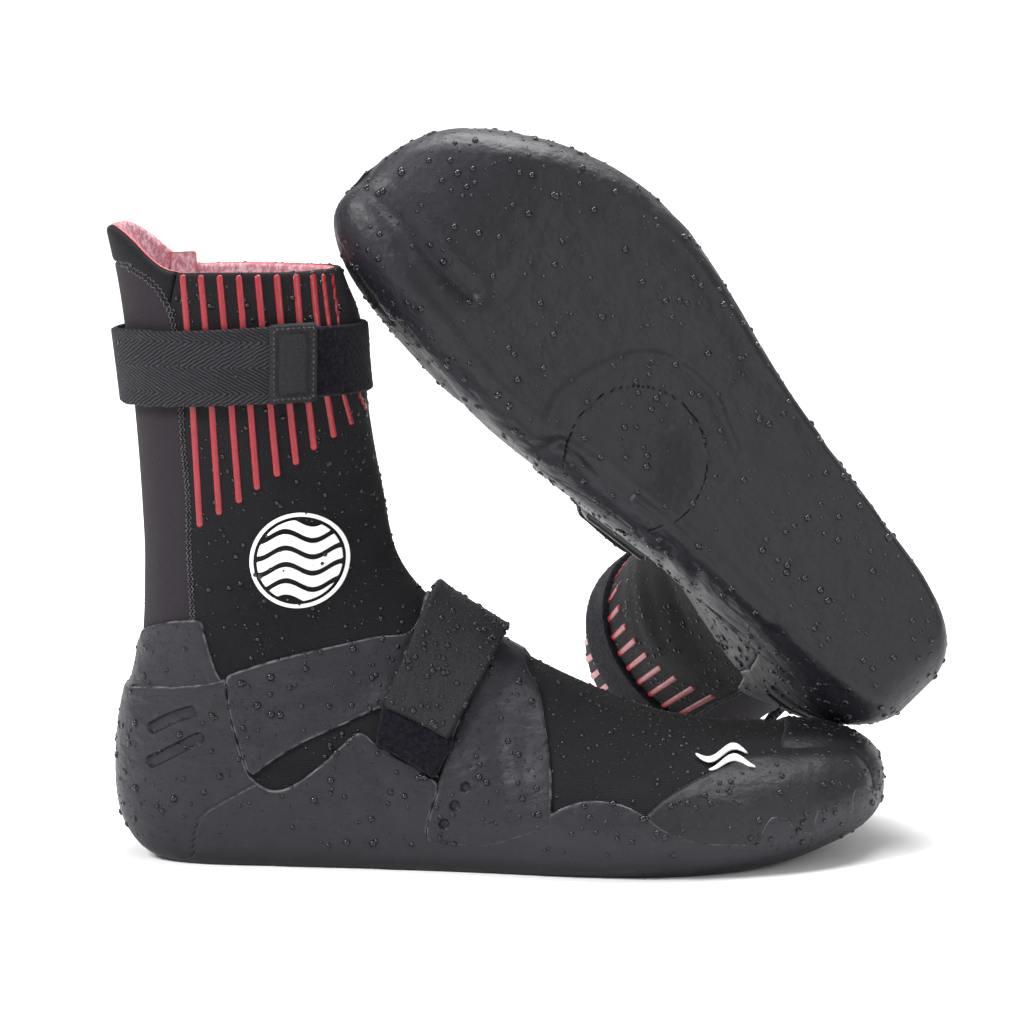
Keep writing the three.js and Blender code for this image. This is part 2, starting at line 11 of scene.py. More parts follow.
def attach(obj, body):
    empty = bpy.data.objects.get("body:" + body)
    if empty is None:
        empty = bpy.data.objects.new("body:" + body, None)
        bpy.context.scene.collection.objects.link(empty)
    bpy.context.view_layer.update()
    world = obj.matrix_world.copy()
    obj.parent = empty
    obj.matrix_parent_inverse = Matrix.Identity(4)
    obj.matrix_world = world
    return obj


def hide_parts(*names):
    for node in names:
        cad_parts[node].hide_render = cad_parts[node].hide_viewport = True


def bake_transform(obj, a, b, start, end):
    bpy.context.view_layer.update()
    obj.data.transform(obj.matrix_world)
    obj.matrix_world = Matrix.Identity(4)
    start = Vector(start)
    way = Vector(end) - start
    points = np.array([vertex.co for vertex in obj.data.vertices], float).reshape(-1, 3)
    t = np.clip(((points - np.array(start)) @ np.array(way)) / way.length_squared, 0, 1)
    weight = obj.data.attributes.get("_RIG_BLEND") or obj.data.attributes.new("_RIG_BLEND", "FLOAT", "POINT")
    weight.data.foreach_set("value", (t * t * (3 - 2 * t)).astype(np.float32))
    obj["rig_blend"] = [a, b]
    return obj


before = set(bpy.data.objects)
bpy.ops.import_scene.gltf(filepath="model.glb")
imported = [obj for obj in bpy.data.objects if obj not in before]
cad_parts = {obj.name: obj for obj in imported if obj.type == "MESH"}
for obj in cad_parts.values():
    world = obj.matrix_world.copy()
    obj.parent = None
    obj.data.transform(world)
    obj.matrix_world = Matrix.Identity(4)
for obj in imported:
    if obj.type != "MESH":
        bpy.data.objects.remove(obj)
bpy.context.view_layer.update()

# ---- Outsole, foxing and heel cup ----
# One shell of moulded rubber wraps the foot: a smooth outsole, a low foxing with a wavy upper edge, a tall
# heel cup with two grip slots, and a toothed bumper at the toe. It is glued over the neoprene foot.

# The shape the boot is stretched on. Each row gives the bottom (or back) and top (or front) of a section in
# side view, its lateral and medial reach, its flat shares, widest height, crown and ridge, in millimetres.
SECTIONS = np.array([
    [297, 26, 297, 27, 24, 30, 0.30, 0.30, 0.50, 2.20, 27],
    [295, 18, 295, 36, 7, 43, 0.35, 0.35, 0.48, 2.20, 26],
    [288, 12, 288, 43, -10, 50, 0.45, 0.45, 0.46, 2.30, 25],
    [274, 6.5, 274, 48, -25, 55, 0.55, 0.55, 0.44, 2.40, 24],
    [255, 2, 255, 49.5, -38, 57.5, 0.66, 0.66, 0.40, 2.40, 22],
    [232, 0.2, 232, 50.5, -48, 58.5, 0.74, 0.74, 0.37, 2.30, 19],
    [205, 0, 208, 55, -53, 58, 0.78, 0.78, 0.34, 2.15, 15],
    [175, 0, 185, 64.5, -51, 54.5, 0.80, 0.72, 0.31, 2.00, 11],
    [145, 0, 162, 76, -45, 50, 0.82, 0.62, 0.30, 1.90, 8],
    [115, 0, 141, 88, -40, 44, 0.82, 0.58, 0.28, 1.85, 5],
    [85, 0, 125, 98, -37.5, 38.5, 0.82, 0.62, 0.26, 1.85, 3],
    [55, 0, 115, 108, -35.5, 34.5, 0.80, 0.70, 0.25, 1.90, 2],
    [28, 0, 108.5, 118, -34.5, 33, 0.70, 0.64, 0.27, 1.95, 1],
    [9, 5, 105.2, 127, -34.3, 33, 0.42, 0.42, 0.32, 2.00, 1],
    [0, 23, 103.2, 136, -35, 34.5, 0.20, 0.20, 0.38, 2.00, 0],
    [0.3, 53, 101.6, 144, -35.5, 36, 0.14, 0.14, 0.44, 2.00, 0],
    [7.5, 86, 99.8, 152.5, -36, 37, 0.12, 0.12, 0.48, 2.00, 0],
    [9.8, 112, 98, 163, -36, 37, 0.12, 0.12, 0.50, 2.00, 0],
    [9, 140, 96.2, 175, -36, 36.5, 0.12, 0.12, 0.50, 2.05, 0],
    [6.8, 173, 94.5, 191, -36, 36, 0.12, 0.12, 0.50, 2.10, 0],
    [3.5, 203, 93, 209, -36, 36, 0.12, 0.12, 0.50, 2.15, 0],
    [0.4, 225, 87, 225, -36, 36, 0.12, 0.12, 0.50, 2.20, 0],
    [-4.2, 247, 81, 247, -36, 36, 0.12, 0.12, 0.50, 2.20, 0],
])
WIDEST = 0.5
TOE_TIP = np.array([297.6, 27.0, 26.5])


def smooth(value, low, high):
    t = np.clip((value - low) / (high - low), 0, 1)
    return t * t * (3 - 2 * t)


def between(a, b, c, d, t):
    """A smooth run from b to c, with a and d as neighbours."""
    return 0.5 * (2 * b + (c - a) * t + (2 * a - 5 * b + 4 * c - d) * t**2 + (3 * b - a - 3 * c + d) * t**3)


def sections_at(place):
    place = np.clip(place, 0, len(SECTIONS) - 1)
    first = np.clip(np.floor(place).astype(int), 0, len(SECTIONS) - 2)
    four = (SECTIONS[np.clip(first + k, 0, len(SECTIONS) - 1)] for k in (-1, 0, 1, 2))
    return between(*four, (place - first)[..., None])


def last_point(place, reach):
    """A point of the last: place counts the sections, reach runs from -1 (ridge) through 0 (sole) to 1."""
    row = np.moveaxis(sections_at(place), -1, 0)
    bottom_x, bottom_z, top_x, top_z, lateral, medial, flat_l, flat_m, widest, crown, ridge = row
    share = np.abs(reach)
    middle = (lateral + medial) / 2
    half = (medial - lateral) / 2
    flat = np.where(reach < 0, flat_l, flat_m)
    flat_end = 0.32 * flat
    low = np.clip((share - flat_end) / (WIDEST - flat_end), 0, 1) * np.pi / 2
    high = np.clip((share - WIDEST) / (1 - WIDEST), 0, 1) * np.pi / 2
    out = np.where(share < flat_end, half * flat * share / flat_end, half * (flat + (1 - flat) * np.sin(low)))
    out = np.where(share < WIDEST, out, half * np.clip(np.cos(high), 0, 1) ** (2 / crown))
    rounded = widest + (1 - widest) * np.sin(high) ** (2 / crown)
    up = np.where(share < WIDEST, widest * (1 - np.cos(low)), rounded)
    lean = (ridge - middle) * np.clip((up - widest) / (1 - widest), 0, 1) ** 1.5
    y = middle + np.sign(reach) * out + lean
    return np.stack([bottom_x + (top_x - bottom_x) * up, y, bottom_z + (top_z - bottom_z) * up], -1)


# A cloth is a table of points and its triangles. Its columns: place, outward direction, how deep the foam
# lies there, extra sole height, relief, distance round the boot, and distance from the edge last drawn.
PLACE, OUT, SKIN, LIFT, RELIEF, AROUND, EDGE = slice(0, 3), slice(3, 6), 6, 7, 8, 9, 10


FOAM_THINNED, SOLE_THICKENED, GIRTH = 1.8, 2.5, 170


def fill_in(points, outward, around=0.0):
    cloth = np.zeros((len(points), 11))
    cloth[:, PLACE] = points
    cloth[:, OUT] = outward
    cloth[:, SKIN] = -FOAM_THINNED * (1 - smooth(points[:, 2] - 0.35 * (points[:, 0] - 50), 85, 125))
    cloth[:, LIFT] = SOLE_THICKENED * (1 - smooth(points[:, 2], 0, 18))
    cloth[:, AROUND] = around
    return cloth


def halved(a, b, c, d):
    """Two triangles for each square of a grid."""
    return np.concatenate([np.stack([a, b, c], -1).reshape(-1, 3), np.stack([a, c, d], -1).reshape(-1, 3)])


def whole_boot(step):
    """The whole last as a cloth, with triangles about step millimetres long."""
    rows = [0.0]
    for i, (here, there) in enumerate(zip(SECTIONS[:-1, :4], SECTIONS[1:, :4])):
        length = max(math.hypot(*(there - here)[:2]), math.hypot(*(there - here)[2:]))
        count = max(3, round(length / step))
        rows += list(i + np.arange(1, count + 1) / count)
    columns = 2 * round(GIRTH / step)
    place, reach = np.meshgrid(rows, -1 + 2 * np.arange(columns) / columns, indexing="ij")
    points = last_point(place, reach)
    nose = np.sqrt(np.clip(place / 0.3, 0, 1))[..., None]
    points = TOE_TIP + (points - TOE_TIP) * nose
    along = np.gradient(points, axis=0)
    across = np.roll(points, -1, 1) - np.roll(points, 1, 1)
    outward = np.cross(along, across)
    outward[0] = (1, 0, 0)
    outward /= np.linalg.norm(outward, axis=-1, keepdims=True) + 1e-12
    steps = np.linalg.norm(points - np.roll(points, 1, 1), axis=-1)
    steps[:, 0] = 0
    around = np.cumsum(steps, axis=1)
    around -= around[:, [columns // 2]]
    index = np.arange(len(rows) * columns).reshape(len(rows), columns)
    a, d = index[:-1], np.roll(index, -1, 1)[:-1]
    b, c = index[1:], np.roll(index, -1, 1)[1:]
    triangles = halved(a, b, c, d)
    return fill_in(points.reshape(-1, 3), outward.reshape(-1, 3), around.ravel()), triangles


def split(cloth, triangles, level):
    """Cuts the triangles along the line where the EDGE column equals level."""
    height = cloth[:, EDGE] - level
    height = np.where(np.abs(height) < 1e-5, 1e-5, height)
    above = (height > 0)[triangles]
    count = above.sum(1)
    crossed = (count == 1) | (count == 2)
    kept, mixed, above = triangles[~crossed], triangles[crossed], above[crossed]
    lone = np.where((count[crossed] == 1)[:, None], above, ~above).argmax(1)
    rows = np.arange(len(mixed))
    a, b, c = (mixed[rows, (lone + k) % 3] for k in range(3))
    edges = np.sort(np.concatenate([np.stack([a, b], 1), np.stack([a, c], 1)]), axis=1)
    edges, where = np.unique(edges, axis=0, return_inverse=True)
    where = where.reshape(-1) + len(cloth)
    start, end = edges[:, 0], edges[:, 1]
    t = (height[start] / (height[start] - height[end]))[:, None]
    fresh = cloth[start] + (cloth[end] - cloth[start]) * t
    ab, ac = where[: len(mixed)], where[len(mixed):]
    made = [np.stack(t, 1) for t in ((a, ab, ac), (ab, b, c), (ab, c, ac))]
    return np.concatenate([cloth, fresh]), np.concatenate([kept, *made])


def keep(cloth, triangles, level=0.0):
    """Keeps the part whose EDGE is above level, and drops unused points."""
    cloth, triangles = split(cloth, triangles, level)
    triangles = triangles[cloth[triangles, EDGE].mean(1) > level]
    used, triangles = np.unique(triangles, return_inverse=True)
    return cloth[used], triangles.reshape(-1, 3)


def cut_from(whole, edge):
    """A piece of a whole boot: the part where edge is above zero."""
    cloth, triangles = whole
    cloth = cloth.copy()
    cloth[:, EDGE] = edge
    return keep(cloth, triangles)


def distance(points, path):
    """Distance from each point to a path of straight lines, in as many dimensions as the path has."""
    path = np.asarray(path, float)
    best = np.full(len(points), 1e9)
    for start, end in zip(path[:-1], path[1:]):
        line = end - start
        t = np.clip((points - start) @ line / max(line @ line, 1e-9), 0, 1)
        best = np.minimum(best, ((points - start - t[:, None] * line) ** 2).sum(1))
    return np.sqrt(best)


def inside(points, outline):
    """Distance to a closed outline in side view, positive inside it."""
    outline = np.asarray(outline, float)
    closed = np.vstack([outline, outline[:1]])
    x, z = points[:, 0], points[:, 1]
    odd = np.zeros(len(points), bool)
    for (ax, az), (bx, bz) in zip(closed[:-1], closed[1:]):
        spans = (az > z) != (bz > z)
        if az != bz:
            odd ^= spans & (x < ax + (z - az) * (bx - ax) / (bz - az))
    return np.where(odd, 1, -1) * distance(points, closed)


def curve(points, steps=5):
    """A smooth path through the points."""
    p = np.asarray(points, float)
    p = np.vstack([2 * p[0] - p[1], p, 2 * p[-1] - p[-2]])
    t = np.arange(steps)[:, None] / steps
    runs = [between(*four, t) for four in zip(p[:-3], p[1:-2], p[2:-1], p[3:])]
    return np.vstack([*runs, p[-2:-1]])


def outline(*runs):
    """A closed outline of smooth runs that meet at corners; a run of two points stays straight."""
    return np.vstack([curve(run) if len(run) > 2 else np.asarray(run, float) for run in runs])


def side_view(cloth):
    return cloth[:, [0, 2]]


def press(cloth, triangles, away, width, depth, flat=0.25):
    """Sinks a groove where away is under width, or raises it where depth is negative."""
    cloth[:, EDGE] = away(cloth)
    for level in (flat * width, (0.5 + 0.5 * flat) * width, width):
        cloth, triangles = split(cloth, triangles, level)
    cloth[:, RELIEF] -= depth * (1 - smooth(cloth[:, EDGE], flat * width, width))
    return cloth, triangles


def carve(cloth, triangles, grooves):
    """Presses a list of grooves, each a distance, a width, a depth and its flat share."""
    for away, width, depth, flat in grooves:
        cloth, triangles = press(cloth, triangles, away, width, depth, flat)
    return cloth, triangles


def spots(cloth, height):
    depth = cloth[:, SKIN] + height
    points = cloth[:, PLACE] + cloth[:, OUT] * depth[:, None]
    points[:, 2] += np.where(depth < -0.01, cloth[:, LIFT] * smooth(-depth, 0, 1.5), 0)
    return points


def plate(cloth, triangles, top, bottom, rim=(0, 0.3, 0.8, 1.6), rise=(0.45, 0.78, 0.95, 1), closed=False):
    """A piece of thickness top to bottom over a cut cloth, with rounded edges, as points and faces."""
    for level in rim[1:]:
        cloth, triangles = split(cloth, triangles, level)
    share = np.interp(cloth[:, EDGE], rim, rise)
    upper = spots(cloth, bottom + (top - bottom) * share + cloth[:, RELIEF])
    directed = np.concatenate([triangles[:, [0, 1]], triangles[:, [1, 2]], triangles[:, [2, 0]]])
    size = len(cloth)
    keys = directed[:, 0] * size + directed[:, 1]
    back = directed[:, 1] * size + directed[:, 0]
    border = directed[~np.isin(keys, back)]
    if closed:
        lower, below = spots(cloth, np.full(size, float(bottom))), np.arange(size)
        floor = [triangles[:, ::-1] + size]
    else:
        ring = np.unique(border)
        lower = spots(cloth[ring], np.full(len(ring), float(bottom)))
        below = np.zeros(size, int)
        below[ring] = np.arange(len(ring))
        floor = []
    a, b = border[:, 0], border[:, 1]
    low_a, low_b = below[a] + size, below[b] + size
    walls = [np.stack([b, a, low_a], 1), np.stack([b, low_a, low_b], 1)]
    faces = np.concatenate([triangles, *walls, *floor])
    if top < bottom:
        faces = faces[:, ::-1]
    drawn = cloth[:, [AROUND, EDGE]]
    return np.vstack([upper, lower]), faces, np.concatenate([drawn, drawn if closed else drawn[ring]])


# The leaning boot is a mirror image. Its soft ankle sags, the ground curls its pull tab, and it is turned.
SAG_PIVOT, SAG_FROM, SAG_TO = np.array([55.0, 0, 108]), np.array([61.0, 0, 88]), np.array([47.0, 0, 131])
SAG = np.radians([9.0, -4.0, 0])
TURN = np.radians([104.2, -48.9, -173.0])
LEFT_SPOT = np.array([194.822, 17.2, 60.406])
HEEL_TO_ORIGIN = 120.0
CURL, CURL_FROM, CURL_SPAN = 14, 226.2, 18


def turned(points, axis, angle):
    angle = np.broadcast_to(np.asarray(angle, float), len(points))[:, None]
    lengthwise = (points @ axis)[:, None] * axis
    return points * np.cos(angle) + np.cross(axis, points) * np.sin(angle) + lengthwise * (1 - np.cos(angle))


def standing(points):
    return (np.asarray(points, float) - (HEEL_TO_ORIGIN, 0, 0)) * 0.001


def leaning(points):
    p = np.array(points, float) * (1, -1, 1)
    p[:, 0] += CURL * (np.clip(p[:, 2] - CURL_FROM, 0, 30) / CURL_SPAN) ** 2
    line = SAG_TO - SAG_FROM
    share = smooth((p - SAG_FROM) @ line / (line @ line), 0, 1)
    size = np.linalg.norm(SAG)
    p = turned(p - SAG_PIVOT, SAG / size, size * share) + SAG_PIVOT
    for axis, angle in zip(np.eye(3), TURN):
        p = turned(p, axis, angle)
    return (p + LEFT_SPOT) * 0.001


SIDES = {"right": standing, "left": leaning}
SAG_ENDS = ("foot", "shaft", SAG_FROM, SAG_TO)


def mesh_of(name, points, faces, finish, marks):
    used, index = np.unique(np.round(points, 7), axis=0, return_inverse=True)
    faces = index.reshape(-1)[faces]
    plain = (faces[:, 0] != faces[:, 1]) & (faces[:, 1] != faces[:, 2]) & (faces[:, 0] != faces[:, 2])
    mesh = bpy.data.meshes.new(name)
    mesh.from_pydata(used.tolist(), [], faces[plain].tolist())
    first = np.unique(index.reshape(-1), return_index=True)[1]
    for label, values in marks.items():
        attribute = mesh.attributes.new(label, "FLOAT_VECTOR", "POINT")
        attribute.data.foreach_set("vector", values[first].astype(np.float32).ravel())
    mesh.materials.append(finish.material)
    mesh.shade_smooth()
    mesh.set_sharp_from_angle(angle=math.radians(48))
    return mesh


def fit(piece, side, nodes, body):
    """Hangs a piece on its body, or bends it between two bodies."""
    if isinstance(body, tuple):
        first, second, start, end = body
        ends = SIDES[side](np.array([start, end]))
        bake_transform(piece, f"{side}_{first}", f"{side}_{second}", start=tuple(ends[0]), end=tuple(ends[1]))
    else:
        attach(piece, f"{side}_{body}")
    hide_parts(*(f"{side}_{node}" for node in nodes))
    return piece


PIECES = {}


def both(name, shape, finish, nodes, body):
    """Makes a piece for each boot, from one shape on the last."""
    points, faces, drawn = shape
    marks = {"boot": points * 0.001, "weave": np.stack([drawn[:, 0], points[:, 2], points[:, 0]], 1) * 0.001,
             "rim": np.clip(drawn[:, [1, 1, 1]], 0, 20) * 0.001}
    made = {}
    for side, place in SIDES.items():
        mesh = mesh_of(f"{side}_{name}", place(points), faces if side == "right" else faces[:, ::-1],
                       finish, marks)
        piece = bpy.data.objects.new(mesh.name, mesh)
        bpy.context.scene.collection.objects.link(piece)
        made[side] = fit(piece, side, nodes, body)
    PIECES[name] = made


class Wire:
    """A shader socket that takes part in arithmetic."""

    def __init__(self, finish, socket):
        self.finish, self.socket = finish, socket

    def sum_of(self, operation, *values):
        return self.finish.node("ShaderNodeMath", {"operation": operation}, dict(enumerate(values)))

    def __add__(self, other):
        return self.sum_of("ADD", self, other)

    def __rsub__(self, other):
        return self.sum_of("SUBTRACT", other, self)

    def __mul__(self, other):
        return self.sum_of("MULTIPLY", self, other)

    __radd__, __rmul__ = __add__, __mul__


class Finish:
    """A material and the few ways its nodes are made."""

    def __init__(self, name):
        self.material = bpy.data.materials.new(name)
        self.material.use_nodes = True
        self.tree = self.material.node_tree
        self.tree.nodes.clear()

    def node(self, kind, settings=None, inputs=None, output=0):
        node = self.tree.nodes.new(kind)
        for key, value in (settings or {}).items():
            setattr(node, key, value)
        for key, value in (inputs or {}).items():
            if isinstance(value, Wire):
                self.tree.links.new(value.socket, node.inputs[key])
            else:
                node.inputs[key].default_value = value
        return Wire(self, node.outputs[output])

    def lay(self, label="boot"):
        return self.node("ShaderNodeAttribute", {"attribute_name": label}, output="Vector")

    def axes(self, vector):
        return [self.node("ShaderNodeSeparateXYZ", {}, {0: vector}, output=k) for k in range(3)]

    def noise(self, vector, scale, detail=2.0, rough=0.5):
        return self.node("ShaderNodeTexNoise", {}, {"Vector": vector, "Scale": scale, "Detail": detail,
                                                    "Roughness": rough})

    def wave(self, value):
        return self.node("ShaderNodeMath", {"operation": "SINE"}, {0: value})

    def ramp(self, value, low, high):
        return self.node("ShaderNodeMapRange", {"interpolation_type": "SMOOTHSTEP"},
                         {"Value": value, "From Min": low, "From Max": high})

    def blend(self, share, first, second):
        first, second = ((*c, 1) if isinstance(c, tuple) else c for c in (first, second))
        return self.node("ShaderNodeMix", {"data_type": "RGBA"}, {0: share, 6: first, 7: second}, output=2)

    def stretch(self, vector, scale):
        return self.node("ShaderNodeMapping", {}, {"Vector": vector, "Scale": scale})

    def bump(self, height, depth, strength=1.0, normal=None):
        inputs = {"Height": height, "Distance": depth, "Strength": strength}
        if normal:
            inputs["Normal"] = normal
        return self.node("ShaderNodeBump", {}, inputs)

    def done(self, colour, roughness, normal=None, **plain):
        if isinstance(colour, tuple):
            colour = (*colour, 1)
        inputs = {"Base Color": colour, "Roughness": roughness}
        if normal:
            inputs["Normal"] = normal
        inputs.update({key.replace("_", " "): value for key, value in plain.items()})
        shader = self.node("ShaderNodeBsdfPrincipled", {}, inputs)
        output = self.tree.nodes.new("ShaderNodeOutputMaterial")
        self.tree.links.new(shader.socket, output.inputs[0])
        return self


def moulded_rubber(name, dark, light, rough, pale):
    """Charcoal rubber: fine eggshell grain, soft unevenness, scuffs, painted shade that darkens the
    underside, and a paler trimmed edge.
    """
    f = Finish(name)
    lay = f.lay()
    cloud = f.noise(lay, 28, 3, 0.6)
    grain = f.noise(lay, 1500, 2, 0.6)
    lumps = f.noise(f.stretch(lay, (1, 1, 1.6)), 75, 3, 0.55)
    scuffs = f.ramp(f.noise(f.stretch(lay, (1, 1, 0.4)), 240, 4, 0.65), 0.58, 0.72)
    colour = f.blend(cloud, dark, light)
    # Painted shade: the rubber is tinted darker towards the underside of the sole, where less light falls.
    underside_painted_shade = f.ramp(0.009 - f.axes(lay)[2], 0.0, 0.008)
    colour = f.blend(underside_painted_shade * 0.8, colour, (0.0048, 0.0047, 0.0066))
    colour = f.blend(scuffs * 0.10, colour, (0.07, 0.07, 0.08))
    trimmed = f.ramp(0.0009 - f.axes(f.lay("rim"))[0], 0.0, 0.0006) * f.ramp(f.noise(lay, 210, 3), 0.38, 0.6)
    colour = f.blend(trimmed * pale, colour, (0.13, 0.13, 0.14))
    normal = f.bump(lumps, 0.0022, 0.6)
    normal = f.bump(grain, 0.00008, 0.7, normal)
    return f.done(colour, rough + 0.14 * cloud + 0.08 * scuffs, normal, Specular_IOR_Level=0.3)


sole_rubber = moulded_rubber("moulded_rubber", (0.0085, 0.0083, 0.0118), (0.0165, 0.0161, 0.0222), 0.40, 0.75)

RUBBER_TOP, RUBBER_BOTTOM = 1.8, -0.2
HEEL_EDGE = [(-60, 66.6), (-20, 66.6), (3, 66.9), (14.6, 68.9), (34.9, 71.2), (44.6, 72.9)]
CUP_FRONT = [(44.6, 72.9), (46.1, 58.9), (52.1, 38.5), (56, 33.2)]
FOXING_EDGE = [(56, 33.2), (61.3, 30.4), (68.6, 31.8), (80.1, 40), (92.6, 51.5), (97.2, 52.3), (101.8, 48.6),
               (110.3, 43.7), (118, 40.5), (124.9, 34.7), (125.3, 31.1), (122.8, 23.5), (121.2, 15.6),
               (122.5, 12.9)]
FOXING_FRONT = [(122.5, 12.9), (134, 11.9), (145.2, 12.5), (152.3, 14.8), (164.8, 21.6), (167.8, 24.8),
                (175, 28.6), (183.6, 30.7), (194.8, 29.8), (204.2, 25.8), (211.9, 20.3), (224.9, 15.4),
                (245.6, 13.1)]
BUMPER_TEETH = [[(245.6, 13.1), (250.5, 22.1), (253.4, 23.3), (258.4, 22.1)],
                [(258.4, 22.1), (261.2, 17.9), (267, 14.9)],
                [(267, 14.9), (269.2, 23.4), (271.9, 23.7), (277.3, 24.9)],
                [(277.3, 24.9), (280.1, 22.4), (282.8, 20.6)],
                [(282.8, 20.6), (283.2, 28), (286.8, 30.2), (291.7, 27.1)], [(291.7, 27.1), (360, 27)]]
SHELL = outline(HEEL_EDGE, CUP_FRONT, FOXING_EDGE, FOXING_FRONT, *BUMPER_TEETH, [(360, -60), (-60, -60)])
GRIP_SLOTS = ([(16.5, 53.6), (24, 57.8), (30.8, 60.2)], [(15.8, 40.4), (24.9, 45.4), (34, 50.2)])
CUP_LINE = curve([(56, 33.2), (44.4, 26.5), (35, 20.3), (32, 13.8), (30.7, 2.9)])
ARCH_PAD, ARCH_RADIUS = (147.5, 26.5), 28.0
SOLE_ARC = curve([(181.2, 44.6), (185.6, 34), (184.6, 21), (180, 6), (172, -5), (163.3, -9.6), (146.7, -12.2),
                  (134.8, -8.7), (124.8, -5.3)])
TOE_VALLEY = curve([(298, 28, 30), (294, 31, 17), (282.3, 30.1, 9.4), (269.7, 30.2, 5.2), (253.5, 33.1, 1.8),
                    (238.5, 32, 0.5)])
TOE_SWELLS = (curve([(288.8, 24, 12.4), (268.8, 24, 5), (236.9, 24, 0.4)]),
              curve([(284.3, 48, 22.2), (268.9, 50, 11.9), (254.6, 48, 4.4), (227.2, 47, 0.5)]),
              curve([(225, -30, 0), (211.5, -38.7, 0), (188.7, -41.2, 0), (169.1, -38.6, 0),
                     (140.4, -33.5, 0), (107.3, -34.6, 1.9)]))
ARCH_CREASE = curve([(176, 54, 12), (171.3, 43.8, 1.1), (154.1, 39.5, 0.9), (135.6, 37, 1.5), (118, 34, 1.2)])
ARCH_RIDGE = curve([(135.8, 37), (118, 33.9), (92.9, 32.5), (66.1, 30.1)])
NEVER = 9


def below(cloth):
    """Where the surface faces the ground."""
    return smooth(-cloth[:, 5], 0.3, 0.8)


def folds(cloth, strokes):
    """Soft folds: each stroke is a path in side view, a width and a depth."""
    flanks = smooth(np.abs(cloth[:, 4]), 0.15, 0.5)
    for path, width, depth in strokes:
        away = distance(side_view(cloth), curve(path))
        cloth[:, RELIEF] -= depth * flanks * np.exp(-((away / width) ** 2))


def mound(cloth, path, height, width):
    """Raises the surface softly along a path in space, or sinks it where height is negative."""
    cloth[:, RELIEF] += height * np.exp(-((distance(cloth[:, PLACE], path) / width) ** 2))


def pad_distance(c):
    return np.hypot(c[:, 0] - ARCH_PAD[0], c[:, 1] - ARCH_PAD[1])


FLANK_FOLDS = [
    ([(88, 30), (92, 18), (99, 8)], 3.0, 0.7), ([(104, 36), (107, 22), (113, 9)], 3.4, 0.8),
    ([(72, 22), (66, 12), (60, 4)], 3.5, 0.5), ([(38, 24), (60, 20), (84, 18)], 5.0, 0.6),
    ([(158, 14), (170, 9), (190, 8)], 4.0, 0.5), ([(14, 28), (22, 16), (30, 8)], 4.0, 0.4),
    ([(196, 24), (203, 14), (214, 6)], 4.5, 0.5),
]
fine = whole_boot(1.45)
shell, shell_triangles = cut_from(fine, inside(side_view(fine[0]), SHELL))
folds(shell, FLANK_FOLDS)
shell[:, RELIEF] += 1.3 * smooth(-shell[:, 0], -34, -4) * smooth(shell[:, 2], 2, 20)
for slot_path in GRIP_SLOTS:
    shell, shell_triangles = press(
        shell, shell_triangles,
        lambda c: distance(side_view(c), curve(slot_path)) + NEVER * (np.abs(c[:, 4]) < 0.3), 2.5, 1.5, 0.68)
shell, shell_triangles = carve(shell, shell_triangles, [
    (lambda c: distance(side_view(c), CUP_LINE) + NEVER * (c[:, 2] < 1), 0.9, 0.45, 0.25),
    (lambda c: np.abs(pad_distance(c) - ARCH_RADIUS) + NEVER * (c[:, 5] > -0.5), 0.6, 0.35, 0.25),
    (lambda c: distance(c[:, :2], SOLE_ARC) + NEVER * (c[:, 5] > -0.5), 3.2, -0.6, 0.25),
    (lambda c: distance(c[:, :2], ARCH_RIDGE) + NEVER * (c[:, 5] > -0.3), 3.0, -0.7, 0.25),
])
mound(shell, TOE_VALLEY, -1.3, 6.0)
for swell in TOE_SWELLS:
    mound(shell, swell, 0.7, 5.5)
mound(shell, ARCH_CREASE, -0.9, 3.0)
shell[:, RELIEF] -= 1.1 * below(shell) * smooth(-pad_distance(shell), -29, -6)
deep = spots(shell, RUBBER_TOP + shell[:, RELIEF])[:, 2] + 0.9
shell[:, RELIEF] += np.where(shell[:, 5] < -0.3, np.minimum(deep, 0), 0)
shell[:, EDGE] = inside(side_view(shell), SHELL)
both("sole_shell", plate(shell, shell_triangles, RUBBER_TOP, RUBBER_BOTTOM), sole_rubber,
     ["outsole", "arch_pad", "heel_cup", "lateral_rand", "medial_rand", "toe_bumper"], "foot")

# ---- Toe cap ----
# A thin rubber cap is moulded over the toes and tucked behind the bumper's teeth. A deep crease parts the
# big toe from the others, and runs over the tip to the sole.
TOE_CAP = outline([(204.6, 26), (210.5, 31), (218, 35.4), (226, 38.9), (241, 43.6), (258, 50), (266, 90)],
                  [(400, 90), (400, -60)], [(206, -60), (204.6, 14)])
TOE_CREASE = curve([(214, 22, 53), (222.9, 12.3, 51.7), (228.7, 3.8, 50.2), (236, -2.1, 48.6),
                    (247.2, -8.7, 46.4), (257.8, -9.5, 44.9), (270.3, -5.6, 44.6), (281.8, 2.7, 43.2),
                    (286, 3.6, 41.2), (290.5, 2, 35.5), (293.5, 1.5, 28.5)])
cap, cap_triangles = cut_from(fine, inside(side_view(fine[0]), TOE_CAP))
cap[:, EDGE] = 0.6 - inside(side_view(cap), SHELL)
cap, cap_triangles = keep(cap, cap_triangles)
mound(cap, TOE_CREASE, -1.6, 5.5)
cap, cap_triangles = press(cap, cap_triangles, lambda c: distance(c[:, PLACE], TOE_CREASE), 1.5, 1.2)
cap[:, EDGE] = inside(side_view(cap), TOE_CAP)
toe_rubber = moulded_rubber("toe_rubber", (0.0062, 0.0061, 0.0080), (0.0110, 0.0108, 0.0138), 0.42, 0.0)
both("moulded_cap", plate(cap, cap_triangles, RUBBER_TOP - 0.35, RUBBER_BOTTOM, rise=(0.2, 0.5, 0.8, 1)),
     toe_rubber,
     ["toe_cap"], "foot")

